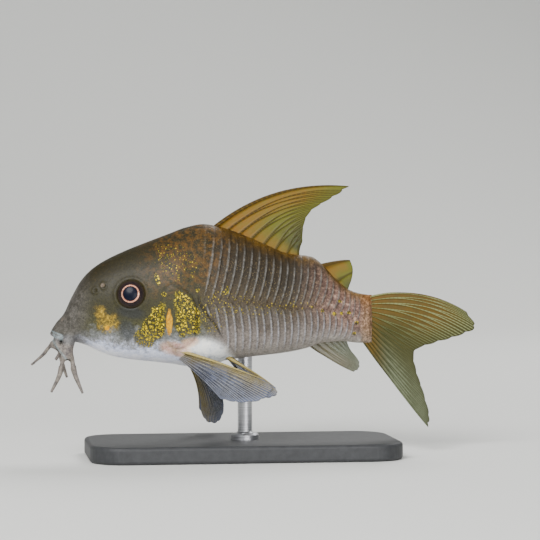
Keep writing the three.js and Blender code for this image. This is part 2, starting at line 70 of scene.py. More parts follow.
# Outline of the body from the side: distance back from the snout tip, height above it
BACK_LINE = [
    (0, 0.3), (0.8, 1.5), (2, 2.9), (3.5, 6.0), (5.2, 8.9), (7.2, 10.9), (9.8, 12.5), (13.3, 14.1),
    (16.9, 15.5), (20.6, 16.9), (23, 17.8), (26.1, 18.4), (28.4, 18.1), (32, 17), (36.8, 15), (41, 13.3),
    (45.2, 12.7), (46.8, 11.6), (49.4, 8.9), (51.7, 7), (53.2, 6.4), (55.3, 6),
]
BELLY_LINE = [
    (0, -0.5), (0.8, -1.0), (2.4, -1.5), (4.2, -1.9), (5.9, -2.4), (7.9, -3.4), (10.8, -4.4), (13.7, -4.9),
    (20.6, -5.7), (24, -6.2), (27, -6.1), (30, -5.2), (33.7, -4.7), (40.3, -4), (44, -3.3), (47.3, -2.3),
    (50.5, -2.1), (53.8, -2.4), (55.3, -2.4),
]
HALF_WIDTH = [
    (0, 0.7), (0.5, 1.25), (1.2, 1.75), (2.4, 2.4), (4.5, 3.3), (7, 4.15), (10, 5.05), (13.7, 5.85),
    (18, 6.8), (22, 7.4), (27, 7.25), (34, 6.3), (40, 5), (44, 4.1), (48, 3), (52, 2.1), (55.3, 0.9),
]
BACK_POWER = [(0, 2), (12, 1.9), (24, 1.72), (44, 1.85), (55.3, 2)]
BELLY_POWER = [(0, 2.1), (15, 2.6), (28, 2.8), (44, 2.3), (55.3, 2)]
WIDEST_AT = 0.4
BODY_END = 55.3

# Two rows of bony plates on each flank
PLATE_COUNT = 22
FIRST_PLATE = 25.35
FRONT_PITCH = 1.43
REAR_PITCH = 1.09
LOWER_ROW_SHIFT = 0.45
UPPER_LEAN = 0.2
LOWER_LEAN = 0.3
UPPER_BOW = 2.2
LOWER_BOW = 0.5
LOWER_BOW_GROWTH = 1.9
LATERAL_ANGLE = 2 * math.pi / 32
NAPE_FOLDS = 2
PLATES_END = 53.4
# The skin thins to an edge over the tail fin's root: distance past the body's end, share of the width there
TAIL_WEDGE = [(0.2, 0.7), (0.42, 0.4), (0.6, 0.15)]
# How far the closing points stand beyond the first ring and the last one
SNOUT_CAP = 0.15
TAIL_CAP = 0.1

# Places on the head: distance back and height
EYE_AT = (13.2, 6.5)
EYE_RADIUS = 2.6
EYE_DEPTH = 1.65
EYE_SUNK = 0.75
EYE_RINGS = 48
EYE_SIDES = 72
# The flanks of the head and shoulder lie farther out than this
BESIDE = 3.0
# The lips and the feelers lie ahead of these distances back
LIPS_END = 6
FEELERS_END = 7
# Distance given to points that are too far off to matter
FAR_OFF = 9.0
NOSTRILS_AT = [(8.7, 7.9), (7.3, 7.1)]
NOSTRIL_RIM = 0.45
GILL_COVER = [
    (19.9, 8), (22.2, 7.5), (23.9, 5.6), (24.5, 2.4), (24, -1), (22.1, -2.7), (19.7, -2.4), (18.3, -0.4),
    (17.9, 3), (18.5, 6.3),
]
GILL_COVER_MIDDLE = (21.2, 2.6)
GILL_COVER_REACH = (5, 8)
# Rear edge of the shoulder plate: height, distance back
SHOULDER_EDGE = [(-4.5, 29.8), (-2, 29.2), (0.9, 27.7), (3, 26.1), (5.6, 24.7), (9, 24.9), (12, 25.6)]

# Pale fold of skin from the snout tip to the feelers, in the side view, and how far out it starts
LIP_FOLD = [(0.3, -0.5), (0.3, -1.5), (0.8, -2.7), (1.6, -3.7), (2.3, -4.6)]
FOLD_WIDTH = 0.17
FOLD_BESIDE = 0.9

# Depths and heights of the small relief
SLIT_DEPTH = 0.22
SOCKET_DEPTH = 1.2
NOSTRIL_RISE = 0.12
NOSTRIL_DEPTH = 0.22

# Areas of gold cells, as outlines in the side view
GOLD_CHEEK = [
    (16.6, 4.2), (18, 5.4), (19.1, 5), (19.2, 3.1), (18.9, 0.4), (17.6, -2.1), (15.4, -3), (13.7, -1.9),
    (13.5, -0.5), (14.9, 1.7),
]
GOLD_GILL = [
    (20.3, 6.6), (21.7, 7.1), (23.5, 5.6), (24.8, 3.5), (25.3, 1), (24.4, -0.8), (21.7, -1.1), (20.5, 0.3),
    (20.2, 3.5),
]
# Patches of colour: distance back, height, half length, half height, tilt in degrees
GOLD_SPOTS = [
    (18.7, 6.5, 0.5, 0.45, 0), (17.7, 9, 0.4, 1.1, 15), (24.5, 7.2, 0.4, 0.4, 0), (29.6, 7.2, 0.35, 0.8, 0),
    (48.8, 2.8, 0.45, 0.42, 0), (50.1, 2.9, 0.35, 0.35, 0), (51.5, 3, 0.45, 0.35, 0),
    (49.8, 5, 0.45, 0.3, -20), (52.9, 1.2, 0.5, 0.4, 0), (52.5, -0.7, 0.4, 0.35, 0),
    (46.6, 3.4, 0.3, 0.3, 0), (44.8, 4, 0.26, 0.26, 0),
]
GOLD_DUST = [(29.5, 5, 6.5, 2.8, 4), (38, 4, 9, 1.3, 4), (21, 12, 5, 3.5, -30), (27, 2.2, 3, 3, 0)]
CHEEK_GLOW = [(9.3, 1.6, 2.7, 2.2, -25), (8.2, 3.2, 1.5, 2.1, 20)]
ORANGE_SPOTS = [(19.6, 1.6, 0.62, 2.5, 0), (9.2, 0.7, 0.45, 0.5, 0)]
ORANGE_GLOW = [(20.8, -2.9, 3.2, 1.5, -12), (23.2, -1.7, 1.8, 1, 10)]
PALE_PATCHES = [(26.2, -4, 4.6, 2.9, -16), (29.6, -5, 1.9, 1.5, 0)]
NOSTRIL_FLAP = [(8.5, 8, 0.42, 0.3, 25)]
# Painted shade in the hollows below the eye
EYE_HOLLOW_SHADE = [(12.6, 0.4, 1.5, 2.2, 20), (13.2, 3.4, 2.6, 1.2, -10)]


def smoothstep(x, low, high):
    """0 below low and 1 above high, with a smooth rise between."""
    t = np.clip((x - low) / (high - low), 0.0, 1.0)
    return t * t * (3 - 2 * t)


def bell(value, middle, width):
    """1 at the middle, falling away on both sides."""
    return np.exp(-(((value - middle) / width) ** 2))


def unit(vectors):
    """The same directions, with length 1."""
    return vectors / np.maximum(np.linalg.norm(vectors, axis=-1, keepdims=True), 1e-9)


def through(points):
    """A smooth line through points in order of their first value, with no overshoot."""
    xs, ys = np.array(points, float).T
    span = np.diff(xs)
    secant = np.diff(ys) / span
    before = np.concatenate([secant[:1], secant])
    after = np.concatenate([secant, secant[-1:]])
    both = before + after
    slope = np.where(before * after > 0, 2 * before * after / np.where(both == 0, 1, both), 0.0)

    def line(x):
        held = np.clip(x, xs[0], xs[-1])
        i = np.clip(np.searchsorted(xs, held) - 1, 0, len(xs) - 2)
        t = (held - xs[i]) / span[i]
        keep = (1 + 2 * t) * (1 - t) ** 2
        rise = t * (1 - t) ** 2 * span[i] * slope[i]
        fall = t * t * (1 - t) * span[i] * slope[i + 1]
        return keep * ys[i] + t * t * (3 - 2 * t) * ys[i + 1] + rise - fall

    return line


back_line = through(BACK_LINE)
belly_line = through(BELLY_LINE)
half_width = through(HALF_WIDTH)
back_power = through(BACK_POWER)
belly_power = through(BELLY_POWER)
shoulder_edge = through(SHOULDER_EDGE)


def half_section(x, upper):
    """Centre height, half width, height and power of the upper or lower half of the section at x."""
    top = back_line(x)
    bottom = belly_line(x)
    centre = bottom + WIDEST_AT * (top - bottom)
    height = np.where(upper, top - centre, centre - bottom)
    power = np.where(upper, back_power(x), belly_power(x))
    return centre, half_width(x), height, power


def section_point(x, angle):
    """Point of the smooth body in the plane x, at an angle from +Y towards +Z."""
    centre, width, height, power = half_section(x, np.sin(angle) >= 0)
    across = (np.abs(np.cos(angle)) / width) ** power
    up = (np.abs(np.sin(angle)) / height) ** power
    radius = (across + up) ** (-1 / power)
    return np.stack([x + 0 * angle, radius * np.cos(angle), centre + radius * np.sin(angle)], -1)


def flank_point(x, z, side):
    """Point on the side of the smooth body at a given x and height."""
    centre = half_section(x, True)[0]
    centre, width, height, power = half_section(x, z >= centre)
    up = min(abs(z - centre) / height, 1.0)
    return Vector((x, side * float(width) * (1 - up**power) ** (1 / power), z))


def flank_normal(x, z, side):
    """Outward normal of the smooth body at a point on its side."""
    step = 0.4
    along = flank_point(x + step, z, side) - flank_point(x - step, z, side)
    upward = flank_point(x, z + step, side) - flank_point(x, z - step, side)
    normal = along.cross(upward).normalized()
    return normal if normal.y * side > 0 else -normal


def lateral_height(x):
    """Height of the lateral line at x."""
    return section_point(x, LATERAL_ANGLE + 0 * x)[..., 2]


def lean_strength(station):
    """1 where the rings lean in full, 0 on the snout and at the tail's end."""
    return smoothstep(station, 12, 22) * (1 - smoothstep(station, 50, 54.5))


def body_point(station, angle):
    """Point of the smooth body on a ring that leans back above and below the lateral line."""
    height = section_point(station, angle)[..., 2] - lateral_height(station)
    lean = lean_strength(station) * np.abs(height) * np.where(height > 0, UPPER_LEAN, LOWER_LEAN)
    return section_point(station + lean, angle)


def plate_starts():
    """Stations at which the plates begin, after two faint folds of the nape."""
    pitch = np.linspace(FRONT_PITCH, REAR_PITCH, PLATE_COUNT)
    nape = FIRST_PLATE - FRONT_PITCH * np.arange(NAPE_FOLDS, 0, -1)
    return np.concatenate([nape, [FIRST_PLATE], FIRST_PLATE + np.cumsum(pitch)])


def row_height(points):
    """Height above the lateral line, from -1 at the belly to 1 at the back."""
    x, z = points[..., 0], points[..., 2]
    line = lateral_height(x)
    above = (z - line) / np.maximum(back_line(x) - line, 0.2)
    below = (z - line) / np.maximum(line - belly_line(x), 0.2)
    return np.clip(np.where(z > line, above, below), -1, 1)


def station_of(points):
    """Station of the ring that passes through each point."""
    x = points[..., 0]
    share = row_height(points)
    station = x
    for _ in range(4):
        line = lateral_height(station)
        reach = np.where(share > 0, back_line(station) - line, line - belly_line(station))
        slope = np.where(share > 0, UPPER_LEAN, LOWER_LEAN)
        station = x - lean_strength(station) * np.abs(share) * reach * slope
    return station


def plate_phase(points):
    """Place along a plate, from 0 at its hidden front edge to 1 at its free rear edge, and 0 elsewhere."""
    starts = plate_starts()
    share = row_height(points)
    above = np.clip(share, 0, 1)
    below = np.clip(-share, 0, 1)
    lower = LOWER_ROW_SHIFT * FRONT_PITCH + below * (LOWER_BOW + LOWER_BOW_GROWTH * below)
    shifted = station_of(points) + np.where(share < 0, lower, -UPPER_BOW * above * (1 - above))
    k = np.clip(np.searchsorted(starts, shifted, side="right") - 1, 0, len(starts) - 2)
    phase = np.clip((shifted - starts[k]) / (starts[k + 1] - starts[k]), 0, 1)
    return phase * (plate_area(points) > 0)


def plate_area(points):
    """1 where plates cover the flank, less on the nape and towards the belly, 0 on the head."""
    share = row_height(points)
    station = station_of(points)
    x, z = points[..., 0], points[..., 2]
    rows = smoothstep(share, -0.97, -0.7)
    front = smoothstep(station, FIRST_PLATE - 0.1, FIRST_PLATE + 0.2)
    nape = 0.35 * smoothstep(share, 0.3, 0.5) * smoothstep(station, FIRST_PLATE - 3, FIRST_PLATE - 2.4)
    shoulder = smoothstep(x - shoulder_edge(z), 0.1, 0.4)
    return rows * np.maximum(front, nape) * shoulder * (1 - smoothstep(station, 54.2, 54.8))


def patch_mask(points, patches, full=0.55, none=1.2):
    """1 in the middle of any of the patches, fading between these shares of their half sizes."""
    mask = np.zeros(points.shape[:-1])
    for x, z, length, height, tilt in patches:
        angle = math.radians(tilt)
        along = points[..., 0] - x
        up = points[..., 2] - z
        turned_x = (along * math.cos(angle) + up * math.sin(angle)) / length
        turned_z = (up * math.cos(angle) - along * math.sin(angle)) / height
        mask = np.maximum(mask, 1 - smoothstep(np.hypot(turned_x, turned_z), full, none))
    return mask


def outline_mask(points, outlines):
    """1 inside any of the outlines, fading across their edges."""
    mask = np.zeros(points.shape[:-1])
    for outline in outlines:
        distance = signed_distance(points, closed_outline(outline, 6))
        mask = np.maximum(mask, 1 - smoothstep(distance, -1.4, 0.6))
    return mask


def between(p0, p1, p2, p3, t):
    """Point at share t of the smooth stretch from p1 to p2, where p0 and p3 are the points beyond them."""
    return 0.5 * (2 * p1 + (p2 - p0) * t + (2 * p0 - 5 * p1 + 4 * p2 - p3) * t * t
                  + (3 * p1 - p0 - 3 * p2 + p3) * t**3)


def closed_outline(points, steps):
    """Points along a smooth closed curve through the given ones."""
    ring = np.array(points, float)
    count = len(ring)
    result = []
    for i in range(count):
        around = [ring[(i + k) % count] for k in (-1, 0, 1, 2)]
        result += [between(*around, t) for t in np.linspace(0, 1, steps, endpoint=False)]
    return np.array(result)


def signed_distance(points, outline):
    """Distance of each point to an outline in the side view, negative inside it."""
    x = points[..., 0][..., None]
    z = points[..., 2][..., None]
    ax, az = outline[:, 0], outline[:, 1]
    bx, bz = np.roll(ax, -1), np.roll(az, -1)
    t = ((x - ax) * (bx - ax) + (z - az) * (bz - az)) / ((bx - ax) ** 2 + (bz - az) ** 2)
    t = np.clip(t, 0, 1)
    gap = np.hypot(x - ax - t * (bx - ax), z - az - t * (bz - az)).min(-1)
    crosses = (az > z) != (bz > z)
    meets = x < ax + (z - az) / np.where(bz == az, 1e-9, bz - az) * (bx - ax)
    inside = np.logical_and(crosses, meets).sum(-1) % 2 == 1
    return np.where(inside, -gap, gap)


def place(points):
    """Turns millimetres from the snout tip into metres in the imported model's frame."""
    moved = np.asarray(points, float).reshape(-1, 3) + (-STAND_CENTRE, 0, SNOUT_HEIGHT)
    return moved * MM


def unplace(points):
    """Turns the frame's metres into millimetres from the snout tip."""
    return np.asarray(points, float) / MM - (-STAND_CENTRE, 0, SNOUT_HEIGHT)


def linked(name, data):
    """A new object in the scene."""
    obj = bpy.data.objects.new(name, data)
    bpy.context.scene.collection.objects.link(obj)
    return obj


def mesh_object(name, points, faces):
    """A new object from points in millimetres from the snout tip."""
    mesh = bpy.data.meshes.new(name)
    mesh.from_pydata([tuple(p) for p in place(points)], [], faces)
    mesh.validate()
    mesh.update()
    return linked(name, mesh)


def set_attribute(obj, name, values):
    """Stores one number for each vertex under a name that a material can read."""
    layer = obj.data.attributes.new(name, "FLOAT", "POINT")
    layer.data.foreach_set("value", np.asarray(values, np.float32).ravel())


def vertices_of(obj):
    """Vertices of a placed object, in millimetres from the snout tip."""
    points = np.zeros(len(obj.data.vertices) * 3)
    obj.data.vertices.foreach_get("co", points)
    return unplace(points.reshape(-1, 3))


def finish_piece(obj, material, slot, *nodes):
    """Gives a piece its finish, and lets it ride in place of its solids."""
    obj.data.materials.clear()
    obj.data.materials.append(material)
    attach(obj, BODY)
    if nodes:
        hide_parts(*nodes)


def set_stops(ramp, stops):
    """Gives a colour ramp its positions and colours."""
    while len(ramp.elements) < len(stops):
        ramp.elements.new(1.0)
    for element, (position, shade) in zip(ramp.elements, stops):
        element.position = position
        element.color = shade


def feed(tree, socket, value):
    """Links a socket to another, or sets its value."""
    if isinstance(value, Number):
        value = value.socket
    if isinstance(value, bpy.types.NodeSocket):
        tree.links.new(value, socket)
    else:
        socket.default_value = value


def add_node(tree, kind, settings=None, inputs=None):
    """Adds a node to a tree, sets it, then fills its sockets with values or links."""
    node = tree.nodes.new(kind)
    for key, value in (settings or {}).items():
        if key == "stops":
            set_stops(node.color_ramp, value)
        else:
            setattr(node, key, value)
    for key, value in (inputs or {}).items():
        feed(tree, node.inputs[key], value)
    return node


class Number:
    """A number in a material, on which Python's operators add Math nodes."""

    def __init__(self, paint, socket):
        self.paint = paint
        self.socket = socket

    def _math(self, operation, *values):
        return Number(self.paint, self.paint.node(
            "ShaderNodeMath", {"operation": operation}, dict(enumerate(values))))

    def __add__(self, other):
        return self._math("ADD", self, other)

    def __sub__(self, other):
        return self._math("SUBTRACT", self, other)

    def __rsub__(self, other):
        return self._math("SUBTRACT", other, self)

    def __mul__(self, other):
        return self._math("MULTIPLY", self, other)

    def __abs__(self):
        return self._math("ABSOLUTE", self)

    def sine(self):
        return self._math("SINE", self)

    def most(self, other):
        return self._math("MAXIMUM", self, other)

    def least(self, other):
        return self._math("MINIMUM", self, other)

    def step(self, low, high):
        """0 below low and 1 above high, with a smooth rise between."""
        return Number(self.paint, self.paint.node(
            "ShaderNodeMapRange", {"interpolation_type": "SMOOTHSTEP"},
            {"Value": self, "From Min": low, "From Max": high, "To Min": 0.0, "To Max": 1.0}))

    __radd__ = __add__
    __rmul__ = __mul__


class Paint:
    """One material, with a Principled shader and the nodes that feed it."""

    def __init__(self, name, constants):
        self.material = bpy.data.materials.new(name)
        self.material.use_nodes = True
        self.tree = self.material.node_tree
        self.shader = self.tree.nodes["Principled BSDF"]
        for key, value in constants.items():
            self.shader.inputs[key].default_value = value
        self._position = None

    def node(self, kind, settings=None, inputs=None, output=0):
        """Adds a node, and gives back one of its outputs."""
        return add_node(self.tree, kind, settings, inputs).outputs[output]

    def position(self):
        """Object coordinates, in metres."""
        if self._position is None:
            self._position = self.node("ShaderNodeTexCoord", output=3)
        return self._position

    def stretched(self, x, y, z):
        """Object coordinates, scaled along each axis."""
        return self.node("ShaderNodeMapping", {}, {"Vector": self.position(), "Scale": (x, y, z)})

    def attribute(self, name):
        """A number stored at each point of the mesh."""
        return Number(self, self.node("ShaderNodeAttribute", {"attribute_name": name}, output=2))

    def noise(self, scale, detail=3.0, roughness=0.55, vector=None):
        """A noise of so many cells a metre, about 0.5."""
        return Number(self, self.node("ShaderNodeTexNoise", {}, {
            "Vector": vector or self.position(), "Scale": scale, "Detail": detail, "Roughness": roughness}))

    def cells(self, scale, feature="F1", vector=None):
        """Distance to the middle of a cell, or to the border between cells."""
        return Number(self, self.node("ShaderNodeTexVoronoi", {"feature": feature}, {
            "Vector": vector or self.position(), "Scale": scale}))

    def ramp(self, number, stops):
        """A number turned into a colour, from positions and the colours there."""
        return self.node("ShaderNodeValToRGB", {"stops": stops}, {"Fac": number})

    def mix(self, share, first, second, blend="MIX"):
        """Blends two colours."""
        return self.node("ShaderNodeMix", {"data_type": "RGBA", "blend_type": blend},
                         {0: share, 6: first, 7: second}, output=2)

    def set(self, name, value):
        """Feeds one of the shader's own sockets."""
        feed(self.tree, self.shader.inputs[name], value)

    def bump(self, height, distance, strength=1.0):
        """Fine relief, so many metres high."""
        self.set("Normal", self.node("ShaderNodeBump", {}, {
            "Height": height, "Distance": distance, "Strength": strength}))


def colour(red, green, blue):
    """A screen colour, 0 to 255 a channel, as the linear colour that shaders use."""
    def linear(level):
        share = level / 255
        return share / 12.92 if share <= 0.04045 else ((share + 0.055) / 1.055) ** 2.4
    return (linear(red), linear(green), linear(blue), 1.0)


class SkinPaint(Paint):
    """The fish's skin, in layers over each other: masks from the mesh, broken up by noises."""

    def __init__(self, tones):
        super().__init__("skin", {"Specular IOR Level": 0.22, "Coat Roughness": 0.25})
        self.tones = tones
        self.height = self.attribute("row_height")
        self.station = self.attribute("station")
        self.blotch = self.noise(240.0, 5.0, 0.6)
        self.cloud = self.noise(520.0, 3.0, 0.6)
        self.mottle = self.noise(1000.0, 4.0, 0.7)
        self.speckle = self.noise(2400.0, 3.0, 0.7)
        self.grain = self.noise(5200.0, 2.0, 0.7)

    def uneven(self, number, mottle, blotch=0.0):
        """Adds so much of the finer and the coarser blotches to a number."""
        number = number + (self.mottle - 0.5) * mottle
        return number + (self.blotch - 0.5) * blotch if blotch else number

    def head_and_flank(self):
        """An olive head and slate flanks, each from a pale belly to a dark back."""
        level = self.uneven(self.height * 0.5 + 0.5, 0.3, 0.3)
        flank = self.ramp(level, [
            (0.0, colour(190, 182, 172)), (0.14, colour(148, 139, 132)), (0.3, colour(106, 97, 90)),
            (0.45, colour(76, 67, 54)), (0.54, colour(66, 54, 34)), (0.72, colour(46, 38, 25)),
            (0.88, colour(50, 39, 21)), (0.97, colour(82, 60, 20)), (1.0, colour(100, 72, 20))])
        head = self.ramp(level, [
            (0.0, colour(244, 244, 250)), (0.1, colour(214, 218, 232)), (0.2, colour(136, 138, 138)),
            (0.34, colour(72, 71, 42)), (0.55, colour(53, 50, 22)), (0.8, colour(47, 42, 17)),
            (1.0, colour(42, 36, 13))])
        return self.mix(self.station.step(23.0, 27.5), head, flank)

    def snout_and_tail(self, skin):
        """A grey snout, a mauve stalk to the tail and an amber edge at its root."""
        snout = 1 - self.station.step(3.5, 7.5)
        skin = self.mix(snout * 0.9, skin, self.ramp(self.mottle, [
            (0.35, colour(70, 66, 60)), (0.65, colour(104, 100, 94))]))
        stalk = self.station.step(40.0, 51.0)
        stalk = stalk * self.height.step(-0.95, 0.0) * (1 - self.height.step(0.75, 1.0))
        skin = self.mix(stalk * 0.75, skin, self.ramp(self.mottle * 0.7 + self.speckle * 0.3, [
            (0.38, colour(104, 76, 68)), (0.5, colour(142, 108, 98)), (0.62, colour(204, 168, 148))]))
        ridge = self.station.step(45.0, 54.0) * self.height.step(0.4, 0.95)
        skin = self.mix(ridge * 0.6, skin, colour(124, 90, 36))
        root = self.uneven(self.station, 2.0).step(53.2, 54.6)
        skin = self.mix(root * 0.6, skin, self.ramp(self.speckle, [
            (0.4, colour(108, 76, 30)), (0.62, colour(186, 150, 116))]))
        return self.mix(root * self.height.step(0.2, 0.9) * 0.6, skin, colour(124, 72, 4))

    def nape_and_cheek(self, skin):
        """A rusty nape, painted shade in the hollows round the eye and a yellow patch before it."""
        nape = self.station.step(13.0, 19.0) * (1 - self.station.step(25.0, 30.0))
        nape = nape * self.height.step(0.0, 0.4)
        skin = self.mix(nape * self.mottle.step(0.4, 0.62) * 0.6, skin, colour(116, 78, 16))
        # Painted shade in the hollows round the eye
        skin = self.mix(self.attribute("dark") * 0.6, skin, colour(40, 44, 50))
        cheek = self.attribute("cheek")
        patch = self.uneven(cheek, 2.2, 1.2).step(0.25, 1.4) * cheek.step(0.0, 0.6)
        return self.mix(patch, skin, self.ramp(self.speckle, [
            (0.35, colour(122, 98, 24)), (0.62, colour(192, 156, 40))]))

    def plates(self, skin):
        """Painted shade in the seams under the plates, pale free edges, and painted shade in the slit of the
        gill.
        """
        phase = self.attribute("plate")
        area = self.attribute("plate_area")
        # Painted shade at each plate's hidden front edge, under the free edge of the plate before
        painted_seam_shade = (1 - phase.step(0.0, 0.3)) * area * phase.step(0.0, 0.01)
        edge = phase.step(0.62, 0.86) * (1 - phase.step(0.92, 1.0)) * area
        edge = edge * (1 - self.height.step(0.68, 0.9)) * abs(self.height).step(0.0, 0.16)
        skin = self.mix(painted_seam_shade * 0.5, skin, colour(36, 28, 20))
        broken = (self.mottle * 0.6 + self.speckle * 0.3 + self.blotch * 0.2).step(0.4, 0.62)
        skin = self.mix(edge * (0.2 + broken * 0.6), skin, self.mix(
            self.height.step(-0.6, 0.1), self.tones.lower_edge, self.tones.upper_edge))
        # Painted shade in the slit behind the gill cover and along the shoulder plate's rear edge
        return self.mix(self.attribute("groove") * 0.85, skin, colour(26, 22, 20))

    def belly(self):
        """1 on the white bulge behind the gill cover."""
        pale = self.attribute("pale")
        return self.uneven(pale, 0.6, 0.5).step(0.0, 0.9) * pale.step(0.0, 0.25)

    def freckles(self, belly):
        """1 on fine dark dots, off the belly."""
        dots = 1 - self.cells(2700.0).step(0.2, 0.42)
        return dots * self.speckle.step(0.4, 0.6) * self.height.step(-0.8, -0.3) * (1 - belly)

    def pale_dots(self):
        """1 on fine pale dots, on the flanks."""
        dots = (1 - self.cells(3100.0).step(0.12, 0.34)) * self.blotch.step(0.36, 0.6)
        return dots * self.height.step(-0.9, -0.3) * self.station.step(15.0, 30.0)

    def gold_dust(self):
        """1 on loose gold specks."""
        cells = self.cells(2500.0, vector=self.stretched(1.1, 1.0, 0.9))
        dust = (1 - cells.step(0.16, 0.36)) * self.speckle.step(0.36, 0.56)
        return dust * self.uneven(self.attribute("dust"), 0.6, 1.4).step(0.4, 1.0)

    def gold_area(self):
        """1 where gold cells lie close together."""
        gold = self.attribute("gold")
        return (self.uneven(gold * 1.3, 0.8) + (self.cloud - 0.5) * 2.0).step(0.3, 0.9) * gold.step(0.0, 0.4)

    def gold_cells(self):
        """1 in the gold cells, 0 in the net between them."""
        net = self.cells(1900.0, "DISTANCE_TO_EDGE").step(0.05, 0.26)
        fine_net = self.cells(3600.0, "DISTANCE_TO_EDGE").step(0.04, 0.24)
        return (net * 0.45 + fine_net * 0.35 + self.speckle.step(0.34, 0.62) * 0.4).step(0.42, 0.86)

    def mouth_and_fin_root(self, skin):
        """A rosy glow at the fin's root, grey feelers, and pale lips and nostril flaps."""
        rosy = (self.uneven(self.attribute("glow"), 0.9) + (self.cloud - 0.5) * 0.9).step(0.1, 1.1)
        skin = self.mix(rosy * 0.42, skin, colour(222, 160, 84))
        skin = self.mix(self.attribute("feeler") * 0.85, skin, self.ramp(self.mottle, [
            (0.35, colour(92, 84, 84)), (0.6, colour(148, 138, 126))]))
        skin = self.mix(self.attribute("lip") * 0.65, skin, colour(150, 166, 170))
        return self.mix(self.attribute("flap") * 0.5, skin, colour(170, 148, 128))


def skin_paint(tones):
    """Slate-brown plates with pale edges, an olive head with gold cells, and a pale belly."""
    paint = SkinPaint(tones)
    skin = paint.plates(paint.nape_and_cheek(paint.snout_and_tail(paint.head_and_flank())))
    belly = paint.belly()
    skin = paint.mix(belly * 0.95, skin, paint.ramp(paint.mottle * 0.6 + paint.cloud * 0.4, [
        (0.36, colour(176, 182, 188)), (0.5, colour(236, 238, 238)), (0.6, tones.belly)]))
    freckle = paint.freckles(belly)
    skin = paint.mix(freckle * 0.65, skin, colour(22, 17, 11))
    skin = paint.mix(paint.pale_dots() * 0.45, skin, colour(164, 144, 100))

    area = paint.gold_area()
    leaf = (paint.gold_cells() * area).most(paint.gold_dust() * 0.9)
    skin = paint.mix(area * 0.75, skin, colour(44, 44, 2))
    skin = paint.mix(leaf, skin, paint.ramp(paint.mottle * 0.55 + paint.speckle * 0.45, [
        (0.34, colour(74, 66, 0)), (0.48, colour(158, 138, 0)), (0.62, tones.gold)]))
    skin = paint.mouth_and_fin_root(skin)
    skin = paint.mix(0.8 - belly * 0.6, skin, paint.ramp(paint.speckle * 0.6 + paint.grain * 0.4, [
        (0.32, colour(66, 66, 66)), (0.68, colour(190, 190, 190))]), "OVERLAY")
    bar = paint.uneven(paint.attribute("orange") * 1.1, 1.5).step(0.35, 0.9)
    skin = paint.mix(bar * 0.95, skin, paint.ramp(paint.speckle, [
        (0.35, colour(170, 112, 0)), (0.6, tones.amber)]))

    paint.set("Base Color", skin)
    paint.set("Metallic", (leaf * 0.4).most(bar * 0.5))
    paint.set("Roughness", 0.56 - leaf * 0.16 + (paint.speckle - 0.5) * 0.3)
    paint.set("Coat Weight", 0.05 + (paint.mottle - 0.5) * 0.1)
    paint.bump(paint.speckle * 0.5 + paint.mottle * 0.5 + leaf * 0.3 - freckle * 0.25, 0.00016, 0.6)
    return paint.material


def fin_paint(name, membrane, base, ray, far_ray, edge, far, opacity):
    """A clear membrane between darker jointed rays, with another tone towards the last ray."""
    paint = Paint(name, {"Specular IOR Level": 0.18})
    rib = paint.attribute("ray")
    along = paint.attribute("along")
    across = paint.attribute("across")
    mottle = paint.noise(900.0, 3.0)
    fine = paint.noise(4200.0, 2.0)
    film = paint.mix(across.step(0.45, 0.95) * along.step(0.1, 0.5), membrane, far)
    film = paint.mix((1 - along.step(0.0, 0.4)) * 0.9, film, base)
    band = (1 - across.step(0.2, 0.46)) * (1 - along.step(0.7, 0.95))
    film = paint.mix(band * 0.7, film, base)
    film = paint.mix(mottle.step(0.35, 0.7) * 0.3, film, edge)
    film = paint.mix(along.step(0.88, 1.0) * 0.5, film, edge)
    joints = ((along * 170.0).sine() * 0.5 + 0.5).step(0.02, 0.3)
    rod = rib.step(0.3, 0.8)
    film = paint.mix(rod * (0.55 + joints * 0.35), film, paint.mix(across.step(0.1, 0.6), ray, far_ray))
    # Painted shade on the membrane beside each raised ray
    shade = rib.step(0.05, 0.3) * (1 - rod)
    film = paint.mix(shade * 0.25, film, colour(30, 24, 12))
    paint.set("Base Color", film)
    solid = rod * 0.95 + (1 - along.step(0.0, 0.2)) * 0.6
    paint.set("Alpha", (opacity + solid * (1 - opacity) + (fine - 0.5) * 0.1).least(1.0))
    paint.set("Roughness", 0.42 + rod * 0.25)
    paint.bump(fine, 0.00004, 0.4)
    return paint.material


def eye_paint(tones):
    """A blue-black pupil in a copper-pink ring, under a wet surface."""
    paint = Paint("eye", {
        "Roughness": 0.35, "Specular IOR Level": 0.08, "Coat Weight": 0.05, "Coat Roughness": 0.05})
    radius = paint.attribute("eye_radius")
    streak = paint.noise(5200.0, 2.0)
    ring = radius.step(1.26, 1.34) * (1 - radius.step(1.48, 1.58))
    pupil = 1 - radius.step(1.24, 1.34)
    rim = paint.ramp(streak, [(0.35, colour(20, 16, 22)), (0.65, colour(46, 36, 34))])
    rim = paint.mix(radius.step(1.9, 2.5) * 0.8, rim, colour(50, 44, 28))
    tone = paint.mix(pupil, rim, colour(8, 12, 28))
    copper = paint.ramp(streak + (radius - 1.4) * 0.6, [
        (0.3, colour(144, 84, 62)), (0.55, colour(218, 150, 120)), (0.75, tones.eye_ring)])
    tone = paint.mix(ring, tone, copper)
    paint.set("Base Color", tone)
    paint.set("Metallic", ring * 0.5)
    return paint.material


def stand_paint(tones):
    """Satin charcoal lacquer."""
    paint = Paint("stand_lacquer", {"Specular IOR Level": 0.4})
    grain = paint.noise(900.0, 4.0, 0.6)
    paint.set("Base Color", paint.ramp(grain, [(0.3, colour(38, 39, 41)), (0.7, tones.lacquer)]))
    paint.set("Roughness", 0.45 + grain * 0.2)
    paint.bump(grain, 0.00004, 0.4)
    return paint.material


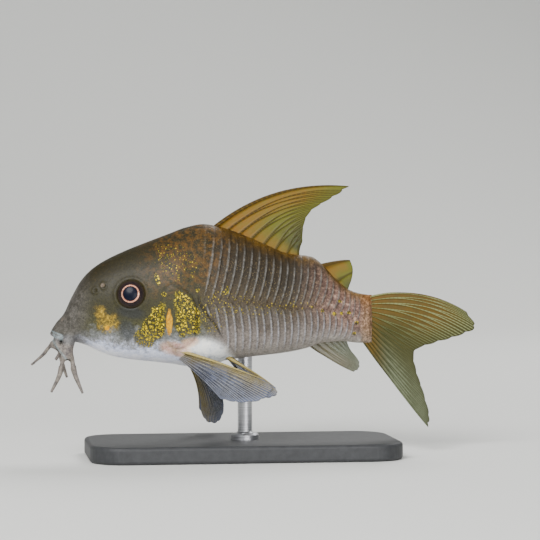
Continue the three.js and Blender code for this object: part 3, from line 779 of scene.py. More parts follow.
def rod_paint():
    """Brushed steel, with fine rings left by turning."""
    paint = Paint("stand_steel", {"Metallic": 1.0})
    rings = paint.noise(6000.0, 2.0, 0.5, paint.stretched(0.02, 0.02, 1.0))
    paint.set("Base Color", paint.ramp(rings, [(0.3, colour(150, 150, 154)), (0.7, colour(196, 197, 200))]))
    paint.set("Roughness", 0.25 + rings * 0.2)
    paint.bump(rings, 0.00002, 0.5)
    return paint.material


# Tubes round the mouth, as paths in millimetres from the snout tip
UPPER_LIP = [(3.2, -2, -1.5), (0.7, -1.3, -0.7), (0, 0, -0.35), (0.7, 1.3, -0.7), (3.2, 2, -1.5)]
LOWER_LIP = [(3.6, -1.6, -2.2), (2, -1.2, -2.15), (1.5, 0, -2.1), (2, 1.2, -2.15), (3.6, 1.6, -2.2)]
UPPER_LIP_RADIUS = 0.5
LOWER_LIP_RADIUS = 0.42
CORNER_RADIUS = (1.35, 0.74)
FLAP_RADIUS = 0.62
MOUTH_CORNERS = {
    "left": [(3, -1.3, -0.6), (2.7, -2.3, -2.4), (2.5, -2.7, -4.9)],
    "right": [(3, 1.3, -0.6), (1.4, 2.3, -1.9), (0.4, 2.8, -3.2)],
}
MOUTH_FLAPS = {
    "left": [(1.4, -1.1, -0.6), (0.85, -1.9, -1.9), (2, -2.7, -3.9)],
    "right": [(1.4, 1.1, -0.6), (0.85, 1.9, -1.3), (0.9, 2.5, -2.2)],
}
# Root radius, tip radius and path of each barbel
BARBELS = {
    "upper_left": (0.66, 0.2, [(2.3, -2.9, -3.6), (1.9, -3, -4.3), (1.1, -3.3, -7.4), (-0.3, -3.8, -10.2)]),
    "lower_left": (0.7, 0.2, [(2.8, -2.6, -3.6), (3.2, -2.5, -4.3), (3.8, -2.8, -7.2), (5.1, -3.3, -10.5)]),
    "upper_right": (0.62, 0.2, [(0.8, 2.7, -1.9), (0.1, 3, -2.4), (-1.3, 3.5, -4.2), (-3.3, 4.4, -6)]),
    "lower_right": (0.62, 0.2, [(0.9, 2.6, -1.9), (1.2, 2.7, -2.4), (1.8, 3, -5.2), (2.8, 3.4, -8.2)]),
    "chin_left": (0.5, 0.22, [(2.4, -0.7, -1.6), (2.2, -0.7, -2.2), (1.5, -0.9, -3.6), (0.6, -1.1, -5)]),
    "chin_right": (0.5, 0.22, [(2.4, 0.7, -1.6), (2.2, 0.7, -2.2), (1.5, 0.9, -3.6), (0.6, 1.1, -5)]),
}


# Where the joined skin is smoothed round the mouth, and how often
MOUTH_LENGTH = 5.5
MOUTH_TOP = 0.6
MOUTH_BOTTOM = -5.8
MOUTH_ROUNDS = 22
CORNER_REACH = 1.4
CORNER_ROUNDS = 14

LIP_STEPS = 40
CORNER_STEPS = 30
BARBEL_STEPS = 60
TUBE_SIDES = 18
CORNER_SIDES = 30


def tube_tree():
    """Geometry Nodes that turn a path into a round tube that tapers along it."""
    tree = bpy.data.node_groups.new("tapered_tube", "GeometryNodeTree")
    for name, kind in (("Geometry", "Geometry"), ("Root Radius", "Float"), ("Tip Radius", "Float"),
                       ("Steps", "Int"), ("Sides", "Int"), ("Material", "Material")):
        tree.interface.new_socket(name, in_out="INPUT", socket_type="NodeSocket" + kind)
    tree.interface.new_socket("Geometry", in_out="OUTPUT", socket_type="NodeSocketGeometry")

    def node(kind, **inputs):
        return add_node(tree, kind, {}, {name.replace("_", " "): value for name, value in inputs.items()})

    source = node("NodeGroupInput").outputs
    even = node("GeometryNodeResampleCurve", Curve=source["Geometry"], Count=source["Steps"])
    factor = node("GeometryNodeSplineParameter")
    radius = node("ShaderNodeMapRange", Value=factor.outputs["Factor"],
                  To_Min=source["Root Radius"], To_Max=source["Tip Radius"])
    profile = node("GeometryNodeCurvePrimitiveCircle", Resolution=source["Sides"], Radius=1.0)
    tube = node("GeometryNodeCurveToMesh", Curve=even.outputs[0], Profile_Curve=profile.outputs["Curve"],
                Scale=radius.outputs[0], Fill_Caps=True)
    real = node("GeometryNodeRealizeInstances", Geometry=tube.outputs[0])
    painted = node("GeometryNodeSetMaterial", Geometry=real.outputs[0], Material=source["Material"])
    node("NodeGroupOutput", Geometry=painted.outputs[0])
    return tree


def tube(tree, name, path, root_radius, tip_radius, material, steps=LIP_STEPS, sides=TUBE_SIDES):
    """A mesh tube along a smooth path given in millimetres from the snout tip."""
    curve = bpy.data.curves.new(name, "CURVE")
    curve.dimensions = "3D"
    spline = curve.splines.new("POLY")
    line = smooth_path(path, 12)
    spline.points.add(len(line) - 1)
    for point, at in zip(spline.points, place(line)):
        point.co = (*at, 1.0)
    obj = linked(name, curve)
    modifier = obj.modifiers.new("tube", "NODES")
    modifier.node_group = tree
    values = {"Root Radius": root_radius * MM, "Tip Radius": tip_radius * MM, "Steps": steps, "Sides": sides,
              "Material": material}
    for item in tree.interface.items_tree:
        if item.in_out == "INPUT" and item.name in values:
            modifier[item.identifier] = values[item.name]
    bpy.context.view_layer.update()
    graph = bpy.context.evaluated_depsgraph_get()
    mesh = bpy.data.meshes.new_from_object(obj.evaluated_get(graph))
    bpy.data.objects.remove(obj)
    result = linked(name, mesh)
    merge_doubles(result)
    return result


def smooth_path(points, steps):
    """Points along a smooth open curve through the given ones."""
    return np.array([open_curve(points, t) for t in np.linspace(0, 1, steps * (len(points) - 1) + 1)])


def open_curve(points, t):
    """Point at share t of a smooth open curve through the given points, evenly shared among its spans."""
    line = np.array(points, float)
    line = np.concatenate([[2 * line[0] - line[1]], line, [2 * line[-1] - line[-2]]])
    spans = len(points) - 1
    i = min(int(t * spans), spans - 1)
    return between(*line[i:i + 4], t * spans - i)


def merge_doubles(obj, distance=1e-7):
    """Merges vertices at one place and turns every face outwards."""
    work = bmesh.new()
    work.from_mesh(obj.data)
    bmesh.ops.remove_doubles(work, verts=work.verts, dist=distance)
    bmesh.ops.recalc_face_normals(work, faces=work.faces)
    work.to_mesh(obj.data)
    work.free()
    obj.data.shade_smooth()


def path_distance(points, path):
    """Distance of each point near the mouth to a path, and a large one elsewhere."""
    distance = np.full(len(points), FAR_OFF)
    near = points[:, 0] < LIPS_END
    line = smooth_path(path, 8)
    distance[near] = np.linalg.norm(points[near][:, None] - line[None], axis=-1).min(-1)
    return distance


def unite(body, others):
    """Joins closed pieces to a body with one union, and removes them."""
    group = bpy.data.collections.new("joined")
    bpy.context.scene.collection.children.link(group)
    for other in others:
        group.objects.link(other)
    modifier = body.modifiers.new("union", "BOOLEAN")
    modifier.operand_type = "COLLECTION"
    modifier.collection = group
    modifier.operation = "UNION"
    modifier.solver = "MANIFOLD"
    graph = bpy.context.evaluated_depsgraph_get()
    mesh = bpy.data.meshes.new_from_object(body.evaluated_get(graph))
    body.modifiers.remove(modifier)
    body.data = mesh
    for other in others:
        bpy.data.objects.remove(other)
    bpy.data.collections.remove(group)


def relax(obj, chosen, rounds, strength=0.5):
    """Smooths the chosen vertices by drawing each towards the middle of its neighbours."""
    work = bmesh.new()
    work.from_mesh(obj.data)
    work.verts.ensure_lookup_table()
    picked = [work.verts[i] for i in np.nonzero(chosen)[0]]
    for _ in range(rounds):
        targets = []
        for vertex in picked:
            near = [edge.other_vert(vertex).co for edge in vertex.link_edges]
            targets.append(vertex.co.lerp(sum(near, Vector()) / len(near), strength))
        for vertex, target in zip(picked, targets):
            vertex.co = target
    work.to_mesh(obj.data)
    work.free()


def tone_setting(name, description, default):
    """A property that holds one colour."""
    return bpy.props.FloatVectorProperty(
        name=name, description=description, default=default, size=4, min=0.0, max=1.0, subtype="COLOR")


class CatfishTones(bpy.types.PropertyGroup):
    """Colours of the fish's markings and fins, and of the stand."""

    gold: tone_setting("Gold", "Brightest gold of the cells on the gill cover", colour(246, 222, 0))
    amber: tone_setting("Amber", "Bar between the cheek and the gill cover", colour(214, 158, 0))
    belly: tone_setting("Belly", "White bulge over the pectoral fin", colour(254, 253, 248))
    upper_edge: tone_setting("Upper plate edge", "Free edge of the upper plates", colour(126, 124, 120))
    lower_edge: tone_setting("Lower plate edge", "Free edge of the lower plates", colour(178, 178, 184))
    eye_ring: tone_setting("Eye ring", "Palest part of the ring round the pupil", colour(240, 196, 168))
    dorsal_film: tone_setting("Dorsal film", "Membrane of the dorsal and adipose fins", colour(88, 86, 8))
    tail_film: tone_setting("Tail film", "Membrane of the tail fin", colour(62, 58, 14))
    anal_film: tone_setting("Anal film", "Membrane of the anal fin", colour(88, 92, 72))
    paired_film: tone_setting("Paired film", "Membrane of the pectoral and pelvic fins", colour(52, 55, 64))
    lacquer: tone_setting("Lacquer", "Lighter tone of the stand's base", colour(52, 53, 55))


def length_setting(name, description, size, least=0.0):
    """A property that holds one length, given here in millimetres."""
    return bpy.props.FloatProperty(
        name=name, description=description, default=size * MM, min=least * MM, unit="LENGTH", precision=6)


class CatfishBody(bpy.types.PropertyGroup):
    """Sizes of the fish's body."""

    plate_rise: length_setting("Plate rise", "Height of a plate's free edge over the next plate", 0.13)
    gill_swell: length_setting("Gill cover swell", "How far the gill cover stands out of the head", 0.08)
    orbit_rise: length_setting("Orbit rise", "Height of the rim round the eye", 0.1)
    step: length_setting("Ring spacing", "Distance between rings along the plates", 0.125, 0.05)
    around: bpy.props.IntProperty(
        name="Sides", description="Points around each ring of the skin", default=224, min=32)


class CatfishFins(bpy.types.PropertyGroup):
    """Sizes of the fins."""

    membrane: length_setting("Membrane", "Half thickness of the membrane", 0.11, 0.05)
    ray: length_setting("Ray", "Half thickness of a soft ray at its root", 0.3, 0.1)
    ray_tip: length_setting("Ray tip", "Half thickness of a soft ray near its tip", 0.15, 0.05)
    per_gap: bpy.props.IntProperty(
        name="Columns", description="Columns of faces between one ray and the next", default=20, min=4)
    rows: bpy.props.IntProperty(
        name="Rows", description="Rows of faces from a fin's root to its edge", default=90, min=10)


class CatfishStand(bpy.types.PropertyGroup):
    """Sizes of the display stand."""

    bevel: length_setting("Bevel", "Width of the rounded edge of the base", 0.6)
    collar: length_setting("Collar", "Radius of the ring round the foot of the rod", 2.4)


def body_grid(sizes):
    """Points of the smooth body, as rings that lie closer where the plates are."""
    nose = np.concatenate([np.linspace(0, 1, 12, endpoint=False) ** 1.6, np.arange(1, 6, 0.13)])
    head = np.arange(6, FIRST_PLATE, 0.17)
    plates = np.arange(FIRST_PLATE, PLATES_END, sizes.step / MM)
    end = np.linspace(PLATES_END, BODY_END, 10)
    stations = np.concatenate([nose, head, plates, end])
    angles = np.linspace(0, 2 * math.pi, sizes.around, endpoint=False)
    station, angle = np.meshgrid(stations, angles, indexing="ij")
    return body_point(station, angle)


def ring_faces(rings, around):
    """Faces between rings of points, each closed on itself."""
    faces = []
    for i in range(rings - 1):
        for j in range(around):
            k = (j + 1) % around
            faces.append((i * around + j, i * around + k, (i + 1) * around + k, (i + 1) * around + j))
    return faces


def grid_normals(points):
    """Outward normals of rings of points."""
    along = np.gradient(points, axis=0)
    around = np.roll(points, -1, axis=1) - np.roll(points, 1, axis=1)
    normal = unit(np.cross(along, around))
    middle = points.mean(axis=1, keepdims=True)
    outward = ((points - middle) * normal).sum(-1).mean() > 0
    return normal if outward else -normal


def pair_distance(points, at):
    """Distance to the nearer of two places on the flanks, such as the middles of the eyes."""
    gaps = [np.linalg.norm(points - np.array(flank_point(*at, side)), axis=-1) for side in (LEFT, RIGHT)]
    return np.minimum(*gaps)


def gill_distance(points):
    """Distance to the edge of the gill cover, negative on it, and large off the head."""
    distance = np.full(points.shape[:-1], FAR_OFF)
    near = (np.abs(points[..., (0, 2)] - GILL_COVER_MIDDLE) < GILL_COVER_REACH).all(-1)
    near &= np.abs(points[..., 1]) > BESIDE
    distance[near] = signed_distance(points[near], closed_outline(GILL_COVER, 8))
    return distance


def groove_shade_mask(points):
    """1 in the slit behind the gill cover and along the rear edge of the shoulder plate, where the skin is
    cut in and darkened with painted shade.
    """
    slit = bell(gill_distance(points), 0.05, 0.16)
    rear = smoothstep(points[..., 0], 18.5, 22) * (1 - smoothstep(points[..., 2], 4, 7))
    x, z = points[..., 0], points[..., 2]
    beside = np.abs(points[..., 1]) > BESIDE
    shoulder = bell(x - shoulder_edge(z), 0.0, 0.2) * smoothstep(z, -2, 0) * (1 - smoothstep(z, 5, 7))
    return np.maximum(slit * (0.25 + 0.6 * rear), shoulder * beside * 0.9)


def fold_mask(points):
    """1 along the pale fold of skin beside the mouth, on both sides."""
    line = smooth_path(LIP_FOLD, 8)
    gap = np.hypot(points[:, None, 0] - line[:, 0], points[:, None, 2] - line[:, 1]).min(-1)
    return bell(gap, 0.0, FOLD_WIDTH) * (np.abs(points[:, 1]) > FOLD_BESIDE)


def relief(points, sizes):
    """Height of the skin over the smooth body, in millimetres."""
    phase = plate_phase(points)
    area = plate_area(points)
    share = row_height(points)
    between_rows = smoothstep(np.abs(share), 0.0, 0.06)
    crest = 1 - 0.7 * smoothstep(share, 0.9, 1.0)
    # A plate climbs to its free edge, then drops onto the next one
    lap = smoothstep(phase, 0.0, 0.85) * (1 - smoothstep(phase, 0.92, 1.0))
    rise = sizes.plate_rise / MM * (lap - 0.3) * area * between_rows * crest

    gill = gill_distance(points)
    rise += sizes.gill_swell / MM * (1 - smoothstep(gill, -0.5, 0.0))
    rise -= SLIT_DEPTH * groove_shade_mask(points)

    # A rim round each eye, and a socket that keeps the skin behind the eyeball
    eye = pair_distance(points, EYE_AT)
    rise += sizes.orbit_rise / MM * bell(eye, EYE_RADIUS + 0.15, 0.35)
    rise -= SOCKET_DEPTH * (1 - smoothstep(eye, EYE_RADIUS - 0.75, EYE_RADIUS - 0.1))

    for at in NOSTRILS_AT:
        nostril = pair_distance(points, at)
        rise += NOSTRIL_RISE * bell(nostril, NOSTRIL_RIM, 0.22) - NOSTRIL_DEPTH * bell(nostril, 0.0, 0.24)
    return rise


def skin_mesh(sizes):
    """The body's closed skin with its relief, thinned to an edge over the tail fin's root."""
    grid = body_grid(sizes)
    raised = grid + grid_normals(grid) * relief(grid, sizes)[..., None]
    wedge = [raised[-1] * (1, share, 1) + (step, 0, 0) for step, share in TAIL_WEDGE]
    raised = np.concatenate([raised, np.array(wedge)])
    rings, around = raised.shape[:2]
    snout = raised[0].mean(axis=0) - (SNOUT_CAP, 0, 0)
    tail = raised[-1].mean(axis=0) + (TAIL_CAP, 0, 0)
    faces = ring_faces(rings, around)
    end = rings * around
    last_ring = end - around
    for j in range(around):
        k = (j + 1) % around
        faces.append((end, k, j))
        faces.append((end + 1, last_ring + j, last_ring + k))
    skin = mesh_object("skin", [*raised.reshape(-1, 3), snout, tail], faces)
    merge_doubles(skin, 1e-8)
    return skin


def mouth_tubes(material):
    """Closed tubes for the lips, the corners of the mouth, its flaps and the barbels."""
    tree = tube_tree()
    tubes = [
        tube(tree, "upper_lip", UPPER_LIP, UPPER_LIP_RADIUS, UPPER_LIP_RADIUS, material),
        tube(tree, "lower_lip", LOWER_LIP, LOWER_LIP_RADIUS, LOWER_LIP_RADIUS, material),
    ]
    for name, path in MOUTH_CORNERS.items():
        tubes.append(tube(tree, "corner_" + name, path, *CORNER_RADIUS, material, CORNER_STEPS, CORNER_SIDES))
    for name, path in MOUTH_FLAPS.items():
        tubes.append(tube(tree, "flap_" + name, path, FLAP_RADIUS, FLAP_RADIUS, material))
    for name, (root, tip, path) in BARBELS.items():
        tubes.append(tube(tree, "barbel_" + name, path, root, tip, material, BARBEL_STEPS))
    return tubes


def soften_mouth(skin):
    """Blends the lips, the corners of the mouth and the barbels into the head."""
    at = vertices_of(skin)
    mouth = (at[:, 0] < MOUTH_LENGTH) & (at[:, 2] < MOUTH_TOP) & (at[:, 2] > MOUTH_BOTTOM)
    relax(skin, mouth, MOUTH_ROUNDS)
    ends = [np.linalg.norm(at - np.array(path[-1]), axis=1) for path in MOUTH_CORNERS.values()]
    relax(skin, np.min(ends, axis=0) < CORNER_REACH, CORNER_ROUNDS)


def skin_masks(at):
    """What the skin's material reads at each point of the mesh."""
    below = smoothstep(belly_line(at[:, 0]) - at[:, 2], 0.1, 1.2)
    ahead = smoothstep(-at[:, 0], 0.2, 0.9)
    return {
        "row_height": row_height(at),
        "station": station_of(at),
        "plate": plate_phase(at),
        "plate_area": plate_area(at),
        "gold": np.maximum(outline_mask(at, [GOLD_CHEEK, GOLD_GILL]), patch_mask(at, GOLD_SPOTS)),
        "dust": patch_mask(at, GOLD_DUST),
        "cheek": patch_mask(at, CHEEK_GLOW, 0.2, 1.3),
        "orange": patch_mask(at, ORANGE_SPOTS),
        "glow": patch_mask(at, ORANGE_GLOW),
        "pale": patch_mask(at, PALE_PATCHES, 0.4, 1.35),
        "dark": patch_mask(at, EYE_HOLLOW_SHADE),
        "groove": groove_shade_mask(at),
        "lip": np.maximum(bell(path_distance(at, UPPER_LIP), UPPER_LIP_RADIUS, 0.1), fold_mask(at)),
        "flap": patch_mask(at, NOSTRIL_FLAP),
        "feeler": np.maximum(below, ahead) * (at[:, 0] < FEELERS_END),
    }


class CATFISH_OT_skin(bpy.types.Operator):
    """Builds the skin of the head, gill covers, trunk, tail, mouth and barbels as one piece"""

    bl_idname = "catfish.skin"
    bl_label = "Skin"

    def execute(self, context):
        material = skin_paint(context.scene.catfish_tones)
        skin = skin_mesh(context.scene.catfish_body)
        unite(skin, mouth_tubes(material))
        soften_mouth(skin)
        for name, values in skin_masks(vertices_of(skin)).items():
            set_attribute(skin, name, values)
        finish_piece(
            skin, material, "head_skin", "head", "torso", "tail", "gill_cover_left", "gill_cover_right",
            "barbel_upper_left", "barbel_lower_left", "barbel_upper_right", "barbel_lower_right",
            "barbel_chin_left", "barbel_chin_right")
        return {"FINISHED"}


def eyeball(name, side):
    """An eye, flatter than a ball. Each point keeps its distance from the axis, for the material."""
    normal = flank_normal(*EYE_AT, side)
    centre = flank_point(*EYE_AT, side) - normal * EYE_SUNK
    turn = Vector((0, 0, 1)).rotation_difference(normal)
    points = []
    radii = []
    for i in range(EYE_RINGS + 1):
        polar = math.pi * i / EYE_RINGS
        flat = EYE_RADIUS * math.sin(polar)
        for j in range(EYE_SIDES):
            angle = 2 * math.pi * j / EYE_SIDES
            local = Vector((flat * math.cos(angle), flat * math.sin(angle), EYE_DEPTH * math.cos(polar)))
            points.append(centre + turn @ local)
            radii.append(flat if polar < math.pi / 2 else EYE_RADIUS)
    eye = mesh_object(name, points, ring_faces(EYE_RINGS + 1, EYE_SIDES))
    set_attribute(eye, "eye_radius", radii)
    merge_doubles(eye)
    return eye


class CATFISH_OT_eyes(bpy.types.Operator):
    """Builds both eyes"""

    bl_idname = "catfish.eyes"
    bl_label = "Eyes"

    def execute(self, context):
        material = eye_paint(context.scene.catfish_tones)
        for side, name in ((LEFT, "left"), (RIGHT, "right")):
            finish_piece(eyeball("eyeball_" + name, side), material, "eye", "eye_" + name)
        return {"FINISHED"}


# How deep the roots of the fins on the back and belly are sunk
FIN_SUNK = 0.9
# Overhang of a fin's first and last edge, as a share of the half thickness there
FIN_EDGE = 0.8
# How far a fin's edge draws in between rays, as a share of their length
EDGE_NOTCH = 0.018
# How far a ray forks and forks again, as a share of the gap between rays
FORK_SPREAD = 0.24
TWIG_SPREAD = 0.12


def on_back(*places):
    """Points of a fin's root along the back."""
    return [(x, 0.0, float(back_line(x)) - FIN_SUNK) for x in places]


def on_belly(*places):
    """Points of a fin's root along the belly."""
    return [(x, 0.0, float(belly_line(x)) + FIN_SUNK) for x in places]


def soft_ray(off, s, forked):
    """1 on a ray that forks twice, 0 beside it, at a place off its middle and at shares s of its length."""
    fork = forked * FORK_SPREAD * smoothstep(s, 0.12, 0.62)
    twig = forked * TWIG_SPREAD * smoothstep(s, 0.5, 0.85)
    width = 0.13 - 0.07 * smoothstep(s, 0.1, 0.6)
    twigs = [bell(off, turn * fork + lean * twig, width) for turn in (-1, 1) for lean in (-1, 1)]
    return np.max(twigs, axis=0)


def fin_grid(sizes, roots, tips, bow, share, rays, spine, rows, forked):
    """Middle points of a fin from root to edge, how far each is on a ray, and its half thickness."""
    membrane, ray_root, ray_tip = (size / MM for size in (sizes.membrane, sizes.ray, sizes.ray_tip))
    columns = (rays - 1) * sizes.per_gap + 1
    bow = np.array(bow, float) / np.linalg.norm(bow)
    s = np.linspace(0, 1, rows + 1)
    centre = np.zeros((rows + 1, columns, 3))
    rib = np.zeros((rows + 1, columns))
    half = np.zeros((rows + 1, columns))
    for j in range(columns):
        u = j / (columns - 1)
        ray = j / sizes.per_gap
        off = ray - round(ray)
        root = open_curve(roots, u)
        tip = open_curve(tips, u)
        knee = (root + tip) / 2 + bow * share(u) * np.linalg.norm(tip - root)
        reach = 1 - EDGE_NOTCH * (2 * abs(off)) ** 2
        t = (s * reach)[:, None]
        centre[:, j] = (1 - t) ** 2 * root + 2 * t * (1 - t) * knee + t * t * tip
        if spine and ray < 0.5:
            rib[:, j] = bell(off, 0.0, 0.22 - 0.1 * s)
            thickness = spine + (ray_tip - spine) * s
        else:
            rib[:, j] = soft_ray(off, s, forked)
            thickness = ray_root + (ray_tip - ray_root) * s
        half[:, j] = membrane + (thickness - membrane) * rib[:, j]
    return centre, rib, half * (1 - s**12)[:, None]


def fin_faces(rows, wide):
    """Faces of two sheets of points, turned outwards and closed along the root."""
    back = (rows + 1) * wide
    faces = []
    for i in range(rows):
        for j in range(wide - 1):
            a, b = i * wide + j, i * wide + j + 1
            c, d = b + wide, a + wide
            faces += [(a, b, c), (a, c, d), (back + a, back + c, back + b), (back + a, back + d, back + c)]
    for j in range(wide - 1):
        faces.append((j + 1, j, back + j, back + j + 1))
    return faces


def fin_sheet(name, sizes, roots, tips, bow, share, rays, spine, material, slot="fin_skin", rows=None,
              forked=True):
    """A fin as one closed sheet: rays stand out of a thin membrane and fork towards its edge.

    roots and tips are points along the fin's root and edge. Each ray bows towards bow by share of its length.
    spine is the half thickness of the first ray, where that is a stout spine. Where forked is False, the rays
    stay single.
    """
    rows = rows or sizes.rows
    centre, rib, half = fin_grid(sizes, roots, tips, bow, share, rays, spine, rows, forked)
    half = half[..., None]
    along = np.gradient(centre, axis=0)
    across = np.gradient(centre, axis=1)
    normal = unit(np.cross(across, along))
    outward = unit(across) * half * FIN_EDGE
    lead = centre[:, :1] - outward[:, :1]
    trail = centre[:, -1:] + outward[:, -1:]
    front = np.concatenate([lead, centre + normal * half, trail], axis=1)
    back = np.concatenate([lead, centre - normal * half, trail], axis=1)
    wide = front.shape[1]
    fin = mesh_object(name + "_web", np.concatenate([front, back]).reshape(-1, 3), fin_faces(rows, wide))
    edged = np.concatenate([rib[:, :1], rib, rib[:, -1:]], axis=1)
    set_attribute(fin, "ray", np.tile(edged.ravel(), 2))
    set_attribute(fin, "along", np.tile(np.repeat(np.linspace(0, 1, rows + 1), wide), 2))
    set_attribute(fin, "across", np.tile([0, *np.linspace(0, 1, wide - 2), 1], 2 * (rows + 1)))
    merge_doubles(fin)
    finish_piece(fin, material, slot, name)


def constant(value):
    """The same share for every ray."""
    return lambda u: value


class CATFISH_OT_median_fins(bpy.types.Operator):
    """Builds the dorsal, adipose, anal and tail fins"""

    bl_idname = "catfish.median_fins"
    bl_label = "Median fins"

    def execute(self, context):
        sizes = context.scene.catfish_fins
        tones = context.scene.catfish_tones
        olive = fin_paint(
            "olive_fin", membrane=tones.dorsal_film, base=colour(118, 80, 8), ray=colour(52, 38, 8),
            far_ray=colour(56, 50, 20), edge=colour(88, 92, 26), far=colour(50, 52, 28), opacity=0.94)
        fin_sheet(
            "dorsal_fin", sizes, on_back(27.6, 32.6, 37.8, 42.8),
            [(51.9, 0, 25), (49.9, 0, 23.6), (47.5, 0, 22.2), (45.4, 0, 20.9), (44.2, 0, 19.3),
             (43.7, 0, 17.3), (43.6, 0, 15.3)],
            bow=(-0.35, 0, 1), share=constant(0.2), rays=8, spine=0.55, material=olive)
        fin_sheet(
            "adipose_fin", sizes, on_back(46.4, 48.4, 50, 51.4),
            [(52, 0, 12.1), (52.5, 0, 10.9), (52.4, 0, 9), (51.9, 0, 7.6)],
            bow=(0, 0, 1), share=constant(0.05), rays=3, spine=0.42, material=olive, rows=50, forked=False)
        amber = fin_paint(
            "tail_fin", membrane=tones.tail_film, base=colour(94, 68, 6), ray=colour(120, 126, 84),
            far_ray=colour(58, 62, 38), edge=colour(50, 50, 26), far=colour(100, 106, 82), opacity=0.94)
        fin_sheet(
            "caudal_fin", sizes,
            [(54.6, 0, 5.3), (55, 0, 3.6), (55.1, 0, 1.6), (54.8, 0, -0.3), (54.2, 0, -1.9)],
            [(73, 0.7, 2.9), (74.6, 0.8, 0.1), (71.2, 0.9, -1.5), (67.2, 0.9, -2.6), (63.8, 0.9, -4),
             (64, 0.9, -7.2), (65.2, 0.9, -10.8), (66.4, 0.9, -15.2), (66.2, 0.9, -17.5)],
            bow=(0.1, 0, 1), share=lambda u: 0.22 - 0.25 * float(smoothstep(u, 0, 0.6)), rays=14, spine=None,
            material=amber)
        grey = fin_paint(
            "anal_fin", membrane=tones.anal_film, base=colour(112, 104, 86), ray=colour(78, 72, 50),
            far_ray=colour(96, 96, 80), edge=colour(108, 114, 100), far=colour(80, 84, 70), opacity=0.74)
        fin_sheet(
            "anal_fin", sizes, on_belly(44.3, 46.5, 48.8, 51),
            [(52.7, 0, -7.5), (53.6, 0, -6.9), (53.7, 0, -5.8), (53.1, 0, -4.8), (52.2, 0, -3.8)],
            bow=(-0.3, 0, -1), share=constant(0.06), rays=7, spine=None, material=grey, rows=50)
        return {"FINISHED"}


class CATFISH_OT_paired_fins(bpy.types.Operator):
    """Builds the pectoral and pelvic fins"""

    bl_idname = "catfish.paired_fins"
    bl_label = "Paired fins"

    def execute(self, context):
        sizes = context.scene.catfish_fins
        tones = context.scene.catfish_tones
        lilac = fin_paint(
            "lilac_fin", membrane=tones.paired_film, base=colour(118, 104, 62), ray=colour(160, 144, 84),
            far_ray=colour(122, 124, 130), edge=colour(108, 118, 150), far=colour(48, 51, 62), opacity=0.8)
        fin_sheet(
            "pectoral_fin_left", sizes, [(20.5, -5, -2.9), (21.1, -4.9, -3.7), (21.5, -4.6, -4.4)],
            [(35.3, -11.4, -7.9), (36.7, -11.7, -9.3), (35, -11.3, -11.3), (31.2, -10.2, -11.8),
             (28.2, -8.8, -11.3)],
            bow=(0.1, -0.4, 0.6), share=constant(0.04), rays=8, spine=0.52, material=lilac,
            slot="paired_fin_skin")
        fin_sheet(
            "pectoral_fin_right", sizes, [(22.8, 5, -3.6), (23.4, 4.9, -4.1), (24, 4.6, -4.5)],
            [(26.6, 10.6, -14.4), (28, 11, -16.8), (30, 10.8, -17), (31, 10, -14.8), (30.6, 8.8, -11.8)],
            bow=(1, 0.3, 0.1), share=constant(0.17), rays=8, spine=0.52, material=lilac,
            slot="paired_fin_skin")
        for side, name in ((LEFT, "left"), (RIGHT, "right")):
            fin_sheet(
                "pelvic_fin_" + name, sizes,
                [(29.4, side * 3.6, -4.2), (30, side * 3.4, -4.3), (30.6, side * 3, -4.3)],
                [(38, side * 6.4, -9.6), (38.2, side * 6.6, -10.8), (36.4, side * 6.4, -11.4),
                 (34.2, side * 5.6, -10.4)],
                bow=(0.1, 0, 0.6), share=constant(0.05), rays=6, spine=0.42, material=lilac,
                slot="paired_fin_skin", rows=60)
        return {"FINISHED"}


# Sizes of the stand, and its rod's outline at the foot, in metres
BASE_CORNER = 6 * MM
CORNER_ARC_STEPS = 12
COLLAR_PROFILE = [(0 * MM, 0 * MM), (0 * MM, 0.8 * MM), (0.3 * MM, 1.1 * MM)]
COLLAR_FILLET = [(0.2 * MM, 1.2 * MM), (0 * MM, 1.4 * MM)]
ROD_SUNK = 0.3 * MM
ROD_STEPS = 48


def object_of(work, name):
    """Turns an edited shape into an object, with its faces outwards."""
    bmesh.ops.recalc_face_normals(work, faces=work.faces)
    mesh = bpy.data.meshes.new(name)
    work.to_mesh(mesh)
    work.free()
    return linked(name, mesh)


def stand_base(bevel):
    """A flat slab with round corners and rounded edges."""
    low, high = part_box("stand_base")
    work = bmesh.new()
    ring = []
    for turn in range(4):
        middle_x = (high.x - BASE_CORNER) if turn in (0, 3) else (low.x + BASE_CORNER)
        middle_y = (high.y - BASE_CORNER) if turn in (0, 1) else (low.y + BASE_CORNER)
        for step in range(CORNER_ARC_STEPS + 1):
            angle = math.pi / 2 * (turn + step / CORNER_ARC_STEPS)
            ring.append(work.verts.new((
                middle_x + BASE_CORNER * math.cos(angle), middle_y + BASE_CORNER * math.sin(angle), low.z)))
    bottom = work.faces.new(ring)
    top = bmesh.ops.extrude_face_region(work, geom=[bottom])["geom"]
    lifted = [item for item in top if isinstance(item, bmesh.types.BMVert)]
    bmesh.ops.translate(work, verts=lifted, vec=(0, 0, high.z - low.z))
    base = object_of(work, "stand_base_lacquered")
    edges = base.modifiers.new("rounded_edges", "BEVEL")
    edges.width = bevel
    edges.segments = 4
    edges.limit_method = "ANGLE"
    return base


